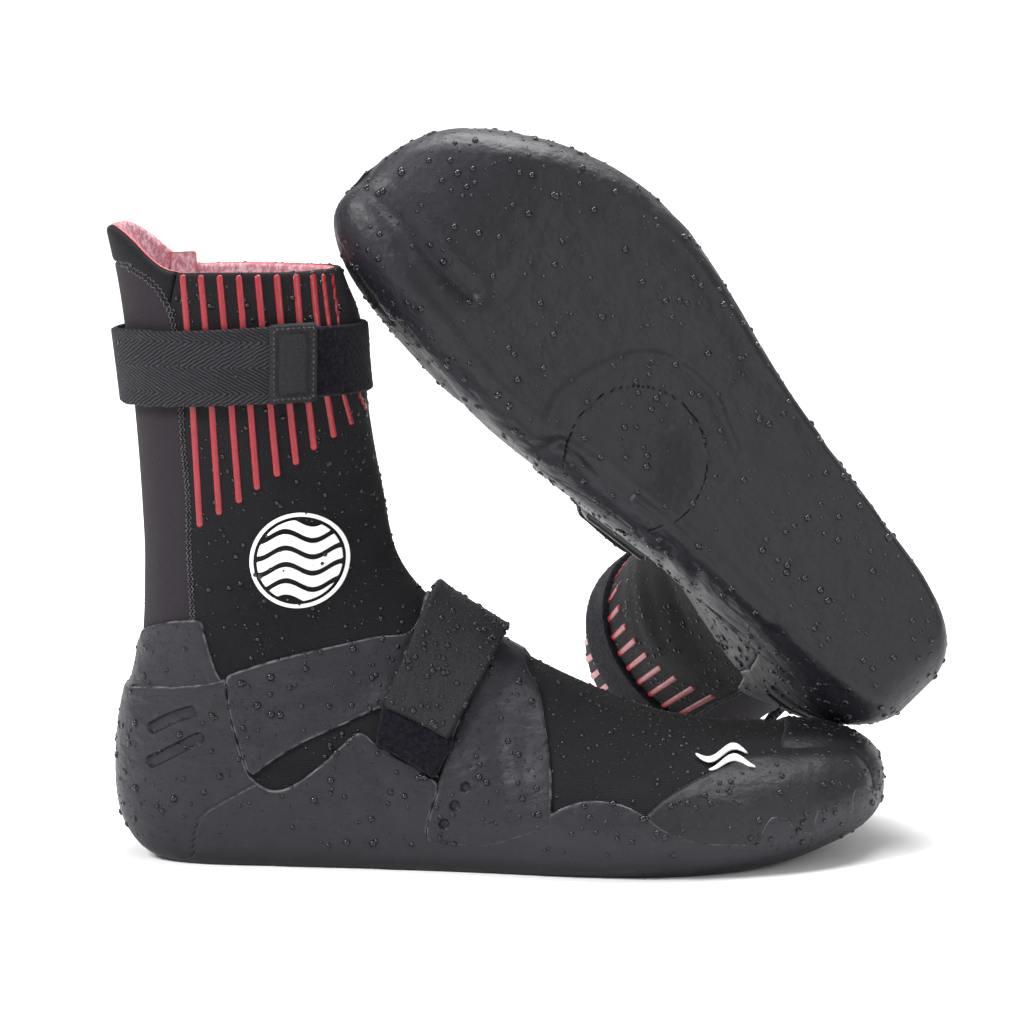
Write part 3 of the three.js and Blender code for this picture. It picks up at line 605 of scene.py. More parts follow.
# ---- Instep wings ----
# A wing of thicker rubber climbs each side from the foxing to the ridge and stiffens the instep under the
# strap. Three dimples are moulded into its lower rear corner.
WING = outline([(168.8, 22), (168.6, 40), (166.2, 55.4), (162.8, 68.3), (157.2, 77.5), (149.2, 110)],
               [(144, 110), (138, 72), (131, 50.3), (126, 36), (125.3, 31.1)],
               [(125.3, 31.1), (122.8, 23.5), (121.2, 15.6), (122.5, 12.2)],
               [(134, 11), (145.2, 11.5), (168.8, 20)])
DIMPLES = [(136.1, 33.7), (132.2, 26.5), (128.1, 19.4)]
wing, wing_triangles = cut_from(fine, inside(side_view(fine[0]), WING))
folds(wing, [([(150, 66), (148, 50), (152, 30)], 4, 0.6), ([(160, 60), (158, 44), (160, 30)], 3, 0.4)])
for dimple in DIMPLES:
    wing, wing_triangles = press(
        wing, wing_triangles, lambda c: np.hypot(c[:, 0] - dimple[0], c[:, 2] - dimple[1]), 2.3, 1.5, 0.6)
wing[:, EDGE] = inside(side_view(wing), WING)
both("instep_wing", plate(wing, wing_triangles, RUBBER_TOP + 0.25, RUBBER_BOTTOM), sole_rubber,
     ["lateral_wing", "medial_wing"], "foot")

# ---- Ankle wraps and heel patch ----
# A rubber strap is glued from the heel cup up to the instep on each side, and a patch covers the tendon
# above the cup. Both stop the heel from lifting.
WRAP = outline([(44.6, 72.1), (46.4, 74.7), (60, 79), (74.5, 82.6), (99.4, 87.9), (115, 90.9), (121, 110)],
               [(144, 110), (138, 72), (131, 50.3), (128, 44)],
               [(128, 44), (118, 52), (110, 61.5), (102.3, 61.8), (89.9, 56), (72.7, 48.2), (60, 40),
                (55.2, 36)],
               [(55.2, 36), (52.1, 38.5), (46.1, 58.9), (44.6, 72.1)])
wrap, wrap_triangles = cut_from(fine, inside(side_view(fine[0]), WRAP))
folds(wrap, [([(58, 70), (76, 66), (96, 74)], 5, 0.7), ([(62, 52), (80, 58), (100, 70)], 4, 0.6),
             ([(100, 84), (108, 76), (118, 72)], 3, 0.6)])
both("ankle_wrap", plate(wrap, wrap_triangles, RUBBER_TOP - 0.3, RUBBER_BOTTOM), sole_rubber,
     ["lateral_ankle_wrap", "medial_ankle_wrap"], "foot")
PATCH = outline([(43.4, 72.1), (40.7, 76.7), (37, 88.2), (35.1, 94.6), (29, 95.4), (18.5, 93), (10.3, 89.4),
                 (7.6, 85)], [(7.6, 84.4), (-60, 84)], [(-60, 60), (3, 64), (34.9, 68), (44, 70)])
patch, patch_triangles = cut_from(fine, inside(side_view(fine[0]), PATCH))
both("tendon_patch", plate(patch, patch_triangles, RUBBER_TOP - 0.4, RUBBER_BOTTOM), sole_rubber,
     ["achilles_patch"], "foot")

# ---- Neoprene upper ----
# Three millimetre foam faced with a fine black jersey: one cut covers the foot and both sides of the shaft,
# and the fold of the heel tab closes the rear top. Its cut rim is soft and round.


CYCLE = 6283  # radians in a thousand waves of one millimetre


def jersey(name, dark, light, wales):
    """A tight knit: fine upright wales crossed by courses, dull, with a faint nap."""
    f = Finish(name)
    lay = f.lay("weave")
    around, height, _ = f.axes(lay)
    wobble = f.noise(lay, 90, 2) * 1.6
    rib = f.wave(around * (CYCLE / wales) + wobble)
    course = f.wave(height * (CYCLE / (wales * 0.8)) + around * 900)
    cloud = f.noise(f.lay(), 35, 3, 0.6)
    nap = f.noise(f.lay(), 2600, 2, 0.7)
    colour = f.blend(cloud * 0.7 + nap * 0.3, dark, light)
    normal = f.bump(rib * 0.5 + course * 0.25 + nap, 0.00012, 0.8)
    normal = f.bump(f.noise(f.lay(), 46, 2), 0.0016, 0.4, normal)
    return f.done(colour, 0.82 - 0.1 * cloud, normal, Specular_IOR_Level=0.14, Sheen_Weight=0.02,
                  Sheen_Roughness=0.5)


black_jersey = jersey("black_jersey", (0.0045, 0.0045, 0.0055), (0.0085, 0.0085, 0.0100), 0.9)

RIM = [(27, 227), (40, 227.4), (56, 227.5), (70, 227.5), (82, 228), (96, 229)]
BACK_SEAM = curve([(31.5, 92), (31.5, 102.3), (30.7, 122.1), (30.6, 141.9), (28.9, 162.2), (28.3, 176.8),
                   (27.4, 192), (26, 206.4), (23.8, 214.2)])
BACK_TOP = curve([(23.8, 214.2), (19.9, 220.6), (14.6, 225), (8, 228), (2, 229.6), (-60, 230)])
TAB_PEAK = np.array([(-60, 243.4), (-0.8, 243.4), (1.6, 242.4), (5.4, 240.2), (9.4, 237.1), (14, 232.9),
                     (18.6, 229.4), (22.5, 227.6), (27, 227)])
NEOPRENE = 3.0
medium = whole_boot(1.9)
cloth_grid, cloth_triangles = medium
FRONT_CUT = np.vstack([BACK_SEAM, RIM, [(130, 230), (360, 120), (360, 12), (8, 12), (8, 92)]])
upper, upper_triangles = cut_from(medium, inside(side_view(cloth_grid), FRONT_CUT))
ANKLE_FOLDS = [
    ([(96, 150), (84, 146), (70, 150)], 5, 0.7), ([(99, 136), (84, 130), (66, 130)], 6, 0.9),
    ([(104, 120), (92, 112), (70, 106)], 5, 0.7), ([(60, 168), (76, 160), (92, 162)], 6, 0.4),
    ([(175, 58), (182, 46), (186, 34)], 6, 0.4), ([(206, 50), (214, 40), (222, 30)], 6, 0.4),
]
folds(upper, ANKLE_FOLDS)
FOAM_EDGE = {"rim": (0, 0.5, 1.3, 2.4), "rise": (0.5, 0.8, 0.95, 1)}
both("neoprene_upper", plate(upper, upper_triangles, 0, -NEOPRENE, **FOAM_EDGE), black_jersey,
     ["vamp", "quarter", "ankle_sleeve", "lateral_shaft_panel", "medial_shaft_panel"], SAG_ENDS)

# The tab joint: the peak bends above the rim.
TAB_ENDS = ("shaft", "pull_tab", np.array([0.0, 0, 222]), np.array([0.0, 0, 233]))
PEAK = np.vstack([TAB_PEAK, BACK_TOP])
peak, peak_triangles = cut_from(fine, inside(side_view(fine[0]), PEAK))
both("heel_tab", plate(peak, peak_triangles, 0.1, -NEOPRENE, **FOAM_EDGE), black_jersey,
     ["pull_tab"], TAB_ENDS)

# ---- Back panel ----
# A stretch panel of mauve-grey ribbed knit runs up the back of the shaft for easy entry. It is cut in two
# under the ankle webbing, and a fuzzy zigzag seam joins it to the sides.


def ribbed_knit():
    f = Finish("ribbed_knit")
    lay = f.lay("weave")
    around, height, _ = f.axes(lay)
    rib = f.wave((around + height * 0.7) * (CYCLE / 0.95))
    stitch = f.wave(height * (CYCLE / 0.8))
    fibre = f.noise(f.stretch(f.lay(), (1, 1, 0.25)), 1900, 3, 0.65)
    cloud = f.noise(f.lay(), 42, 3)
    colour = f.blend(f.ramp(rib, -0.9, 0.9) * 0.45 + fibre * 0.55,
                     (0.0110, 0.0090, 0.0115), (0.030, 0.0245, 0.030))
    colour = f.blend(cloud * 0.3, colour, (0.018, 0.015, 0.0185))
    normal = f.bump(rib * 0.5 + stitch * 0.2 + fibre * 0.7, 0.00014, 0.8)
    return f.done(colour, 0.85, normal, Specular_IOR_Level=0.12, Sheen_Weight=0.04, Sheen_Roughness=0.5)


back_knit = ribbed_knit()
BACK_SPLIT = 190.5
BACK_CUT = np.vstack([[(-60, 84)], [(32, 84)], BACK_SEAM, BACK_TOP])
for label, low, high, nodes, body in (
    ("back_knit", 80, BACK_SPLIT, ["back_panel"], SAG_ENDS),
    ("back_knit_top", BACK_SPLIT, 240, [], TAB_ENDS),
):
    back, back_triangles = cut_from(medium, np.minimum(inside(side_view(cloth_grid), BACK_CUT), 60))
    back[:, EDGE] = np.minimum(back[:, 2] - low, high - back[:, 2])
    back, back_triangles = keep(back, back_triangles)
    back[:, EDGE] = inside(side_view(back), BACK_CUT)
    both(label, plate(back, back_triangles, -0.25, -NEOPRENE, rise=(0.7, 0.86, 0.96, 1)), back_knit,
         nodes, body)

# Zigzag thread covers the joint between the back panel and the sides.
seen = BVHTree.FromPolygons(cloth_grid[:, PLACE].tolist(), cloth_triangles.tolist())


def laid_on(drawing, side):
    """Points of a drawing in side view, laid on one side of the last, and which of them land on it."""
    laid, landed = np.zeros((len(drawing), 11)), np.zeros(len(drawing), bool)
    for k, (x, z) in enumerate(drawing):
        spot, _, face, _ = seen.ray_cast((x, 300.0 * side, z), (0, -side, 0))
        if spot is None:
            continue
        corners = cloth_triangles[face]
        weight = 1 / (np.linalg.norm(cloth_grid[corners, PLACE] - np.array(spot), axis=1) + 0.02) ** 2
        normal = (cloth_grid[corners, OUT] * weight[:, None]).sum(0)
        laid[k] = fill_in(np.array([spot]), normal / np.linalg.norm(normal))
        landed[k] = True
    return laid, landed


class Group:
    """A Geometry Nodes tree with named inputs, run on a piece and turned into a plain mesh."""

    def __init__(self, name, inputs):
        self.tree = bpy.data.node_groups.new(name, "GeometryNodeTree")
        self.inputs = {}
        for label, kind in {"Geometry": "Geometry", **inputs}.items():
            socket = self.tree.interface.new_socket(label, in_out="INPUT", socket_type="NodeSocket" + kind)
            self.inputs[label] = socket.identifier
        self.tree.interface.new_socket("Geometry", in_out="OUTPUT", socket_type="NodeSocketGeometry")
        self.given = self.tree.nodes.new("NodeGroupInput")

    def node(self, kind, settings=None, inputs=None, output=0):
        node = self.tree.nodes.new(kind)
        for key, value in (settings or {}).items():
            setattr(node, key, value)
        for key, value in (inputs or {}).items():
            if isinstance(value, bpy.types.NodeSocket):
                self.tree.links.new(value, node.inputs[key])
            else:
                node.inputs[key].default_value = value
        return node.outputs[output]

    def sum_of(self, operation, *values):
        return self.node("ShaderNodeMath", {"operation": operation}, dict(enumerate(values)))

    def place(self, shape, points, rotation, scale):
        """Puts the shape on the points, and ends the tree."""
        copies = self.node("GeometryNodeInstanceOnPoints", {}, {"Points": points, "Instance": shape,
                                                                "Rotation": rotation, "Scale": scale})
        real = self.node("GeometryNodeRealizeInstances", {}, {"Geometry": copies})
        real = self.node("GeometryNodeSetMaterial", {},
                         {"Geometry": real, "Material": self.given.outputs["Finish"]})
        result = self.tree.nodes.new("NodeGroupOutput")
        self.tree.links.new(real, result.inputs[0])
        return self

    def run(self, name, mesh, **values):
        piece = bpy.data.objects.new(name, mesh)
        bpy.context.scene.collection.objects.link(piece)
        modifier = piece.modifiers.new(name, "NODES")
        modifier.node_group = self.tree
        for label, value in values.items():
            modifier[self.inputs[label.replace("_", " ")]] = value
        made = bpy.data.meshes.new_from_object(piece.evaluated_get(bpy.context.evaluated_depsgraph_get()))
        piece.modifiers.clear()
        made.name = name
        made.materials.clear()
        made.materials.append(values["Finish"])
        made.polygons.foreach_set("material_index", [0] * len(made.polygons))
        for spare in [a.name for a in made.attributes if a.name in ("Out", "weave", "rim")]:
            made.attributes.remove(made.attributes[spare])
        made.shade_smooth()
        piece.data = made
        return piece


def stitch_tree():
    g = Group("stitch_row", {"Spacing": "Float", "Length": "Float", "Thickness": "Float", "Tilt": "Float",
                             "Finish": "Material"})
    given = g.given.outputs
    line = g.node("GeometryNodeMeshToCurve", {}, {"Mesh": given["Geometry"]})
    line = g.node("GeometryNodeResampleCurve", {"mode": "LENGTH"},
                  {"Curve": line, "Length": given["Spacing"]})
    out = g.node("GeometryNodeInputNamedAttribute", {"data_type": "FLOAT_VECTOR"}, {"Name": "Out"})
    turn = g.node("FunctionNodeAlignRotationToVector", {"axis": "X"},
                  {"Vector": g.node("GeometryNodeInputTangent")})
    turn = g.node("FunctionNodeAlignRotationToVector", {"axis": "Z", "pivot_axis": "X"},
                  {"Rotation": turn, "Vector": out})
    odd = g.sum_of("PINGPONG", g.node("GeometryNodeInputIndex"), 1.0)
    lean = g.sum_of("MULTIPLY", g.sum_of("SUBTRACT", odd, 0.5), given["Tilt"])
    lean = g.node("ShaderNodeCombineXYZ", {}, {2: lean})
    turn = g.node("FunctionNodeRotateRotation", {"rotation_space": "LOCAL"},
                  {"Rotation": turn, "Rotate By": g.node("FunctionNodeEulerToRotation", {}, {0: lean})})
    size = g.node("ShaderNodeCombineXYZ", {},
                  {0: given["Length"], 1: given["Thickness"], 2: given["Thickness"]})
    bead = g.node("GeometryNodeMeshIcoSphere", {}, {"Radius": 0.5, "Subdivisions": 1})
    return g.place(bead, line, turn, size)


STITCH_ROW = stitch_tree()


def stitches(name, path, sides, height, finish, body, spacing, length, thickness, tilt):
    """A row of stitches along a path in side view, on the given sides of each boot."""
    for boot, place in SIDES.items():
        points, edges, outward = [], [], []
        for side in sides:
            laid, landed = laid_on(path, side)
            laid = laid[landed]
            first = sum(map(len, points))
            points.append(spots(laid, height))
            outward.append(laid[:, OUT])
            edges += [(first + k, first + k + 1) for k in range(len(laid) - 1)]
        points, outward = np.vstack(points), np.vstack(outward)
        mesh = bpy.data.meshes.new(f"{boot}_{name}")
        mesh.from_pydata(place(points).tolist(), edges, [])
        facing = (place(points + outward) - place(points)) * 1000
        attribute = mesh.attributes.new("Out", "FLOAT_VECTOR", "POINT")
        attribute.data.foreach_set("vector", facing.astype(np.float32).ravel())
        piece = STITCH_ROW.run(f"{boot}_{name}", mesh, Spacing=spacing * 0.001, Length=length * 0.001,
                               Thickness=thickness * 0.001, Tilt=math.radians(tilt), Finish=finish.material)
        fit(piece, boot, [], body)


def thread(name, dark, light):
    f = Finish(name)
    coordinates = f.node("ShaderNodeTexCoord", output="Object")
    fibre = f.noise(coordinates, 1600, 3, 0.7)
    normal = f.bump(fibre, 0.0002, 0.8)
    return f.done(f.blend(f.ramp(fibre, 0.35, 0.65), dark, light), 0.8, normal, Specular_IOR_Level=0.2)


grey_thread = thread("grey_thread", (0.018, 0.017, 0.020), (0.17, 0.165, 0.18))
SEAM_STEP = 1.3
for label, path, body, rise in (
    ("back_seam", BACK_SEAM, SAG_ENDS, 0), ("back_seam_top", BACK_TOP[:-4], TAB_ENDS, 1),
):
    for row in (0, 1):
        shift = SEAM_STEP * (row - 0.5)
        stitches(f"{label}_{row}", path + (shift, shift * rise), (-1, 1), 0.05, grey_thread, body,
                 1.05, 1.9, 0.34, 95)

# ---- Fleece lining and insole ----
# The foam is faced inside with a heathered red fleece, and a thin loose insole of the same cloth lies on
# the sole. The fleece turns a little over the rim.


def fleece():
    f = Finish("heather_fleece")
    lay = f.lay()
    tuft = f.noise(lay, 900, 4, 0.7)
    heather = f.ramp(f.noise(f.stretch(lay, (1, 1, 0.5)), 700, 3, 0.7), 0.42, 0.62)
    cloud = f.noise(lay, 60, 2)
    colour = f.blend(heather, (0.44, 0.16, 0.20), (0.68, 0.47, 0.51))
    colour = f.blend(cloud * 0.3, colour, (0.52, 0.22, 0.26))
    turned_edge = f.ramp(0.0006 - f.axes(f.lay("rim"))[0], 0.0, 0.0004)
    colour = f.blend(turned_edge * 0.7, colour, (0.48, 0.018, 0.032))
    normal = f.bump(tuft, 0.0007, 0.9)
    return f.done(colour, 0.95, normal, Specular_IOR_Level=0.15, Sheen_Weight=0.25, Sheen_Roughness=0.6,
                  Sheen_Tint=(1.0, 0.75, 0.76, 1))


pink_fleece = fleece()
coarse = whole_boot(2.6)
LINING_CUT = np.vstack([TAB_PEAK + (0, 0.3), RIM, [(130, 230), (360, 120), (360, -60), (-60, -60)]])
for label, whole, low, high, nodes, body in (
    ("fleece_lining", coarse, -60, BACK_SPLIT, ["foot_lining", "shaft_lining"], SAG_ENDS),
    ("cuff_lining", medium, BACK_SPLIT, 260, [], TAB_ENDS),
):
    lining, lining_triangles = cut_from(whole, np.minimum(inside(side_view(whole[0]), LINING_CUT), 60))
    lining[:, EDGE] = np.minimum(lining[:, 2] - low, high - lining[:, 2])
    lining, lining_triangles = keep(lining, lining_triangles)
    lining[:, RELIEF] += 0.35 * np.sin(lining[:, AROUND] * 0.9) * np.sin(lining[:, 2] * 0.7)
    lining[:, EDGE] = inside(side_view(lining), LINING_CUT)
    both(label, plate(lining, lining_triangles, -NEOPRENE - 1.3, -NEOPRENE + 0.7, rise=(0.5, 0.7, 0.9, 1)),
         pink_fleece, nodes, body)
TAPE = [(14.2, 212), (25.2, 212), (25.2, 231.6), (14.2, 231.2)]
size_tape, tape_triangles = cut_from(
    medium, np.where(cloth_grid[:, 1] > 0, inside(side_view(cloth_grid), TAPE), -5))
both("size_tape", plate(size_tape, tape_triangles, -NEOPRENE - 1.4, -NEOPRENE - 2.3, closed=True),
     pink_fleece, [], TAB_ENDS)
insole, insole_triangles = cut_from(
    coarse, inside(side_view(coarse[0]), [(-60, -60), (360, -60), (360, 9), (-60, 9)]))
both("fleece_insole", plate(insole, insole_triangles, -NEOPRENE - 4.2, -NEOPRENE - 1.6), pink_fleece,
     ["insole"], "foot")

# ---- Fuzzy loop strips ----
# Patches of soft loop pile are stitched to the shaft's front and beside the foxing. The straps' hooks grip
# them.


def loop_pile():
    f = Finish("loop_pile")
    lay = f.lay()
    loops = f.noise(lay, 620, 4, 0.7)
    clumps = f.noise(lay, 150, 3, 0.6)
    colour = f.blend(f.ramp(loops, 0.35, 0.7), (0.0022, 0.0022, 0.0038), (0.0105, 0.0103, 0.0165))
    normal = f.bump(loops + clumps * 0.6, 0.0009, 1.0)
    return f.done(colour, 0.95, normal, Specular_IOR_Level=0.12, Sheen_Weight=0.06, Sheen_Roughness=0.4)


pile = loop_pile()
BAND_LOW, BAND_HIGH = 176.4, 205.6


def fuzz(cloth, size):
    """Uneven loops, from a few crossing ripples."""
    x, y, z = cloth[:, PLACE].T
    ripple = sum(np.sin(a * x + b * y + c * z + k) for k, (a, b, c) in enumerate(
        [(1.9, 1.1, 2.3), (-2.7, 1.6, 1.3), (1.2, -2.9, 1.9), (3.1, 2.2, -1.7)]))
    cloth[:, RELIEF] += size * 0.25 * ripple


def rise_of_band(x):
    """The strap climbs a little towards the front."""
    return 0.046 * np.clip(x - 20, 0, 52)


def box_cut(low_x, high_x, low_z, high_z, corner=1.0):
    """Distance into a rounded rectangle that climbs with the strap."""
    def away(c):
        wide = np.abs(c[:, 0] - (low_x + high_x) / 2) - (high_x - low_x) / 2 + corner
        tall = np.abs(c[:, 2] - rise_of_band(c[:, 0]) - (low_z + high_z) / 2) - (high_z - low_z) / 2 + corner
        return corner - np.hypot(np.maximum(wide, 0), np.maximum(tall, 0))
    return away


PILE_PATCH = outline([(104, 62.6), (105.4, 64), (130.8, 51.6), (131.4, 50)],
                     [(128.2, 43.3), (124.4, 36.3)], [(113, 42.6), (101.8, 48.4)])
whole = fine[0]
for label, edge, covered, nodes, body, stands in (
    ("ankle_pile", box_cut(34, 150, BAND_LOW + 1.6, BAND_HIGH - 1.2)(whole),
     (whole[:, 1] > 0) | (whole[:, 0] > 60), ["ankle_loop_strip"], "shaft", 0.2),
    ("instep_pile", inside(side_view(whole), PILE_PATCH), whole[:, 1] < 0,
     ["instep_loop_strip"], "foot", 1.9),
):
    strip, strip_triangles = cut_from(fine, np.where(covered, np.minimum(edge, 60), -5))
    fuzz(strip, 0.3)
    both(label, plate(strip, strip_triangles, stands + 2.6, stands - 0.4, rise=(0.5, 0.75, 0.95, 1)), pile,
         nodes, body)

# ---- Ankle webbing ----
# A band of dark herringbone webbing is sewn to the medial side and back. Its free end wraps the lateral
# side to the loop strip, and ends in a stitched grip tab.


def webbing():
    f = Finish("herringbone_webbing")
    around, height, _ = f.axes(f.lay("weave"))
    rib = f.node("ShaderNodeMath", {"operation": "PINGPONG"}, {0: height + 0.0021, 1: 0.0097})
    twill = f.wave((around * 0.8 + rib * 1.35 + f.noise(f.lay(), 300, 2) * 0.0020) * (CYCLE / 1.85))
    yarn = f.wave((height + around * 0.3) * (CYCLE / 0.8))
    fibre = f.noise(f.lay(), 1500, 3, 0.7)
    relief = twill * 0.62 + yarn * 0.12 + fibre * 0.5
    colour = f.blend(f.ramp(relief, -0.3, 0.9), (0.0040, 0.0041, 0.0054), (0.034, 0.035, 0.043))
    normal = f.bump(relief, 0.0007, 1.0)
    return f.done(colour, 0.75, normal, Specular_IOR_Level=0.2, Sheen_Weight=0.03)


strap_webbing = webbing()
WEBBING_FOOT, WEBBING_TOP = 2.7, 5.2
TAB_START, TAB_END = 61.6, 77.8
PEEL_ENDS = ("shaft", "ankle_strap", np.array([20.5, -36.5, 191]), np.array([24.5, -36.5, 191]))
lateral_band = box_cut(-80, TAB_START + 2, BAND_LOW, BAND_HIGH, 0.3)(fine[0])
medial_band = box_cut(-80, 36, BAND_LOW, BAND_HIGH, 0.3)(fine[0])
band, band_triangles = cut_from(fine, np.where(fine[0][:, 1] < 0, lateral_band, medial_band))
waves = 0.25 * np.sin(band[:, AROUND] * 0.11 + band[:, 2] * 0.05)
band[:, RELIEF] += 0.9 * smooth(-band[:, 0], -14, 2) + waves
both("ankle_webbing",
     plate(band, band_triangles, WEBBING_TOP, WEBBING_FOOT, rise=(0.4, 0.75, 0.95, 1), closed=True),
     strap_webbing, ["ankle_webbing_sewn", "ankle_strap"], PEEL_ENDS)

tab_cut = box_cut(TAB_START, TAB_END, BAND_LOW - 0.2, BAND_HIGH + 0.4, 1.6)
tab, tab_triangles = cut_from(fine, np.where(fine[0][:, 1] < 0, tab_cut(fine[0]), -5))
panel_cut = box_cut(TAB_START + 3.4, TAB_END - 3.2, BAND_LOW + 3.2, BAND_HIGH - 3.0, 1.2)
tab, tab_triangles = press(tab, tab_triangles, lambda c: np.abs(panel_cut(c)), 1.0, 0.45)
tab[:, EDGE] = panel_cut(tab)
tab[:, RELIEF] += 0.35 * smooth(tab[:, EDGE], 0, 0.8)
tab[:, EDGE] = tab_cut(tab)


def coated_cloth():
    f = Finish("coated_cloth")
    lay = f.lay()
    grain = f.noise(lay, 1300, 3, 0.65)
    cloud = f.noise(lay, 60, 3)
    fleck = f.ramp(f.noise(lay, 850, 2, 0.7), 0.5, 0.66)
    colour = f.blend(cloud * 0.5 + fleck * 0.5, (0.0050, 0.0052, 0.0066), (0.0185, 0.0190, 0.0235))
    normal = f.bump(grain + fleck * 0.7, 0.0005, 1.0)
    normal = f.bump(f.noise(lay, 90, 2), 0.0009, 0.5, normal)
    return f.done(colour, 0.55 + 0.2 * cloud, normal, Specular_IOR_Level=0.28)


strap_cloth = coated_cloth()
both("ankle_grip_tab", plate(tab, tab_triangles, WEBBING_TOP + 0.75, WEBBING_FOOT - 0.1, closed=True),
     strap_cloth,
     ["ankle_strap_tab"], "ankle_strap")
dark_thread = thread("dark_thread", (0.020, 0.020, 0.023), (0.085, 0.086, 0.094))
SEAM_BACK, SEAM_FRONT, SEAM_LOW, SEAM_HIGH = TAB_START + 1.8, TAB_END - 1.7, BAND_LOW + 1.6, BAND_HIGH - 1.4
TAB_SEAM = curve([(SEAM_BACK, SEAM_LOW), (SEAM_BACK, SEAM_HIGH), (SEAM_FRONT, SEAM_HIGH),
                  (SEAM_FRONT, SEAM_LOW), (SEAM_BACK, SEAM_LOW)], 1)
TAB_SEAM = np.vstack([a + (b - a) * np.arange(12)[:, None] / 12 for a, b in zip(TAB_SEAM[:-1], TAB_SEAM[1:])])
TAB_SEAM[:, 1] += rise_of_band(TAB_SEAM[:, 0])
stitches("tab_stitches", TAB_SEAM, (-1,), WEBBING_TOP + 0.75, dark_thread, "ankle_strap", 2.1, 1.5, 0.75, 24)

# ---- Instep strap and frame ring ----
# A wide coated strap leaves a plastic frame ring on the medial side, crosses the instep's ridge and grips
# the loop strip on the lateral side.
STRAP_FRONT = [(158, 110), (153, 97)]
STRAP_CUT = outline([(104.6, 62.6), (109.5, 75), (114.5, 89), (119.4, 103), (124, 118)], STRAP_FRONT,
                    [(147.6, 84.2), (141.5, 72), (135.5, 61), (130.0, 50.6)],
                    [(129, 50.2), (117, 56.5), (105.4, 61.4)])
ROOT_CUT = outline([(114.5, 56), (119.2, 103), (124, 118)], STRAP_FRONT, [(147.6, 84.2), (140, 51.5)])
STRAP_FOOT, STRAP_TOP = 4.6, 7.3
RIDGE_ENDS = ("foot", "instep_strap", np.array([137.2, 9.5, 99.6]), np.array([134.0, 1.5, 99.0]))
seen_from_side = side_view(fine[0])
strap, strap_triangles = cut_from(
    fine, np.where(fine[0][:, 1] < 4, inside(seen_from_side, STRAP_CUT), inside(seen_from_side, ROOT_CUT)))
strap[:, RELIEF] += 0.3 * np.sin(strap[:, 0] * 0.21 + strap[:, 2] * 0.13)
strap[:, RELIEF] += 0.6 * np.exp(-((strap[:, 1] - 2) / 9.0) ** 2)
both("instep_strap_cloth", plate(strap, strap_triangles, STRAP_TOP, STRAP_FOOT, closed=True), strap_cloth,
     ["instep_strap", "instep_strap_root"], RIDGE_ENDS)


def satin_plastic():
    f = Finish("satin_plastic")
    grain = f.noise(f.lay(), 1800, 2)
    normal = f.bump(grain, 0.00005, 0.5)
    return f.done((0.008, 0.008, 0.0095), 0.3 + 0.15 * grain, normal, Specular_IOR_Level=0.5)


ring_plastic = satin_plastic()
RING = np.array([(112, 55.6), (141.5, 51), (139, 38.5), (110, 43)])
RING_HALF = 1.6
ring, ring_triangles = cut_from(fine, np.where(
    fine[0][:, 1] > 4, 1.7 - np.abs(inside(seen_from_side, RING) - RING_HALF), -5))
both("frame_ring",
     plate(ring, ring_triangles, 4.7, 1.7, (0, 0.35, 0.9, RING_HALF), (0.4, 0.72, 0.95, 1), closed=True),
     ring_plastic, ["strap_ring"], "foot")

# ---- Raised stripes ----
# Ten glossy red bars of printed rubber stand on each side of the shaft, longer towards the back.


def printed(low_x, high_x, low_z, high_z, step, side, shape):
    """A piece of print as a cloth: a shape drawn in side view and laid on one side of the boot."""
    columns, rows = (np.arange(low, high + step, step) for low, high in ((low_x, high_x), (low_z, high_z)))
    x, z = np.meshgrid(columns, rows)
    cloth = np.zeros((x.size, 11))
    cloth[:, 0], cloth[:, 2] = x.ravel(), z.ravel()
    index = np.arange(x.size).reshape(x.shape)
    a, b, c, d = index[:-1, :-1], index[:-1, 1:], index[1:, 1:], index[1:, :-1]
    triangles = halved(a, b, c, d)
    cloth[:, EDGE] = shape(side_view(cloth))
    cloth, triangles = keep(cloth, triangles)
    laid, landed = laid_on(side_view(cloth), side)
    laid[:, EDGE] = cloth[:, EDGE]
    triangles = triangles[landed[triangles].all(1)]
    if side > 0:
        triangles = triangles[:, ::-1]
    used, triangles = np.unique(triangles, return_inverse=True)
    return laid[used], triangles.reshape(-1, 3)


def gloss_print(name, colour, edge, rough, coat):
    f = Finish(name)
    fleck = f.noise(f.lay(), 900, 3, 0.6)
    shade = f.blend(f.ramp(fleck, 0.35, 0.7), colour, edge)
    normal = f.bump(fleck, 0.00012, 0.6)
    return f.done(shade, rough + 0.15 * fleck, normal, Coat_Weight=coat, Coat_Roughness=0.15)


red_bar = gloss_print("red_bar", (0.27, 0.0060, 0.0140), (0.185, 0.0030, 0.0080), 0.36, 0.2)
STRIPE_TOP = [29.9, 36.9, 44.0, 51.2, 58.2, 65.1, 72.0, 77.8, 81.2, 84.2]
STRIPE_FOOT = [(35.2, 132.2), (42.8, 137.1), (50.5, 141.7), (57.4, 146.8), (64.9, 151.7), (71.9, 156),
               (78.4, 161.3), (85.4, 165.3), (91.5, 169.2), (96.1, 173.3)]
STRIPE_HALF, STRIPE_HEIGHT = [1.25] * 6 + [1.2, 1.05, 0.72, 0.45], 0.7


def stripes(points):
    return np.max([half - distance(points, [(top, 225.4), (top + 0.45 * (foot[0] - top), 192), foot])
                   for top, foot, half in zip(STRIPE_TOP, STRIPE_FOOT, STRIPE_HALF)], axis=0)


for side, label in ((-1, "lateral_stripes"), (1, "medial_stripes")):
    bars, bar_triangles = printed(26, 99, 130, 228, 0.8, side, stripes)
    both(label, plate(bars, bar_triangles, STRIPE_HEIGHT, -0.3, (0, 0.3, 0.7, 1.1), (0.45, 0.78, 0.95, 1)),
         red_bar, [], SAG_ENDS)

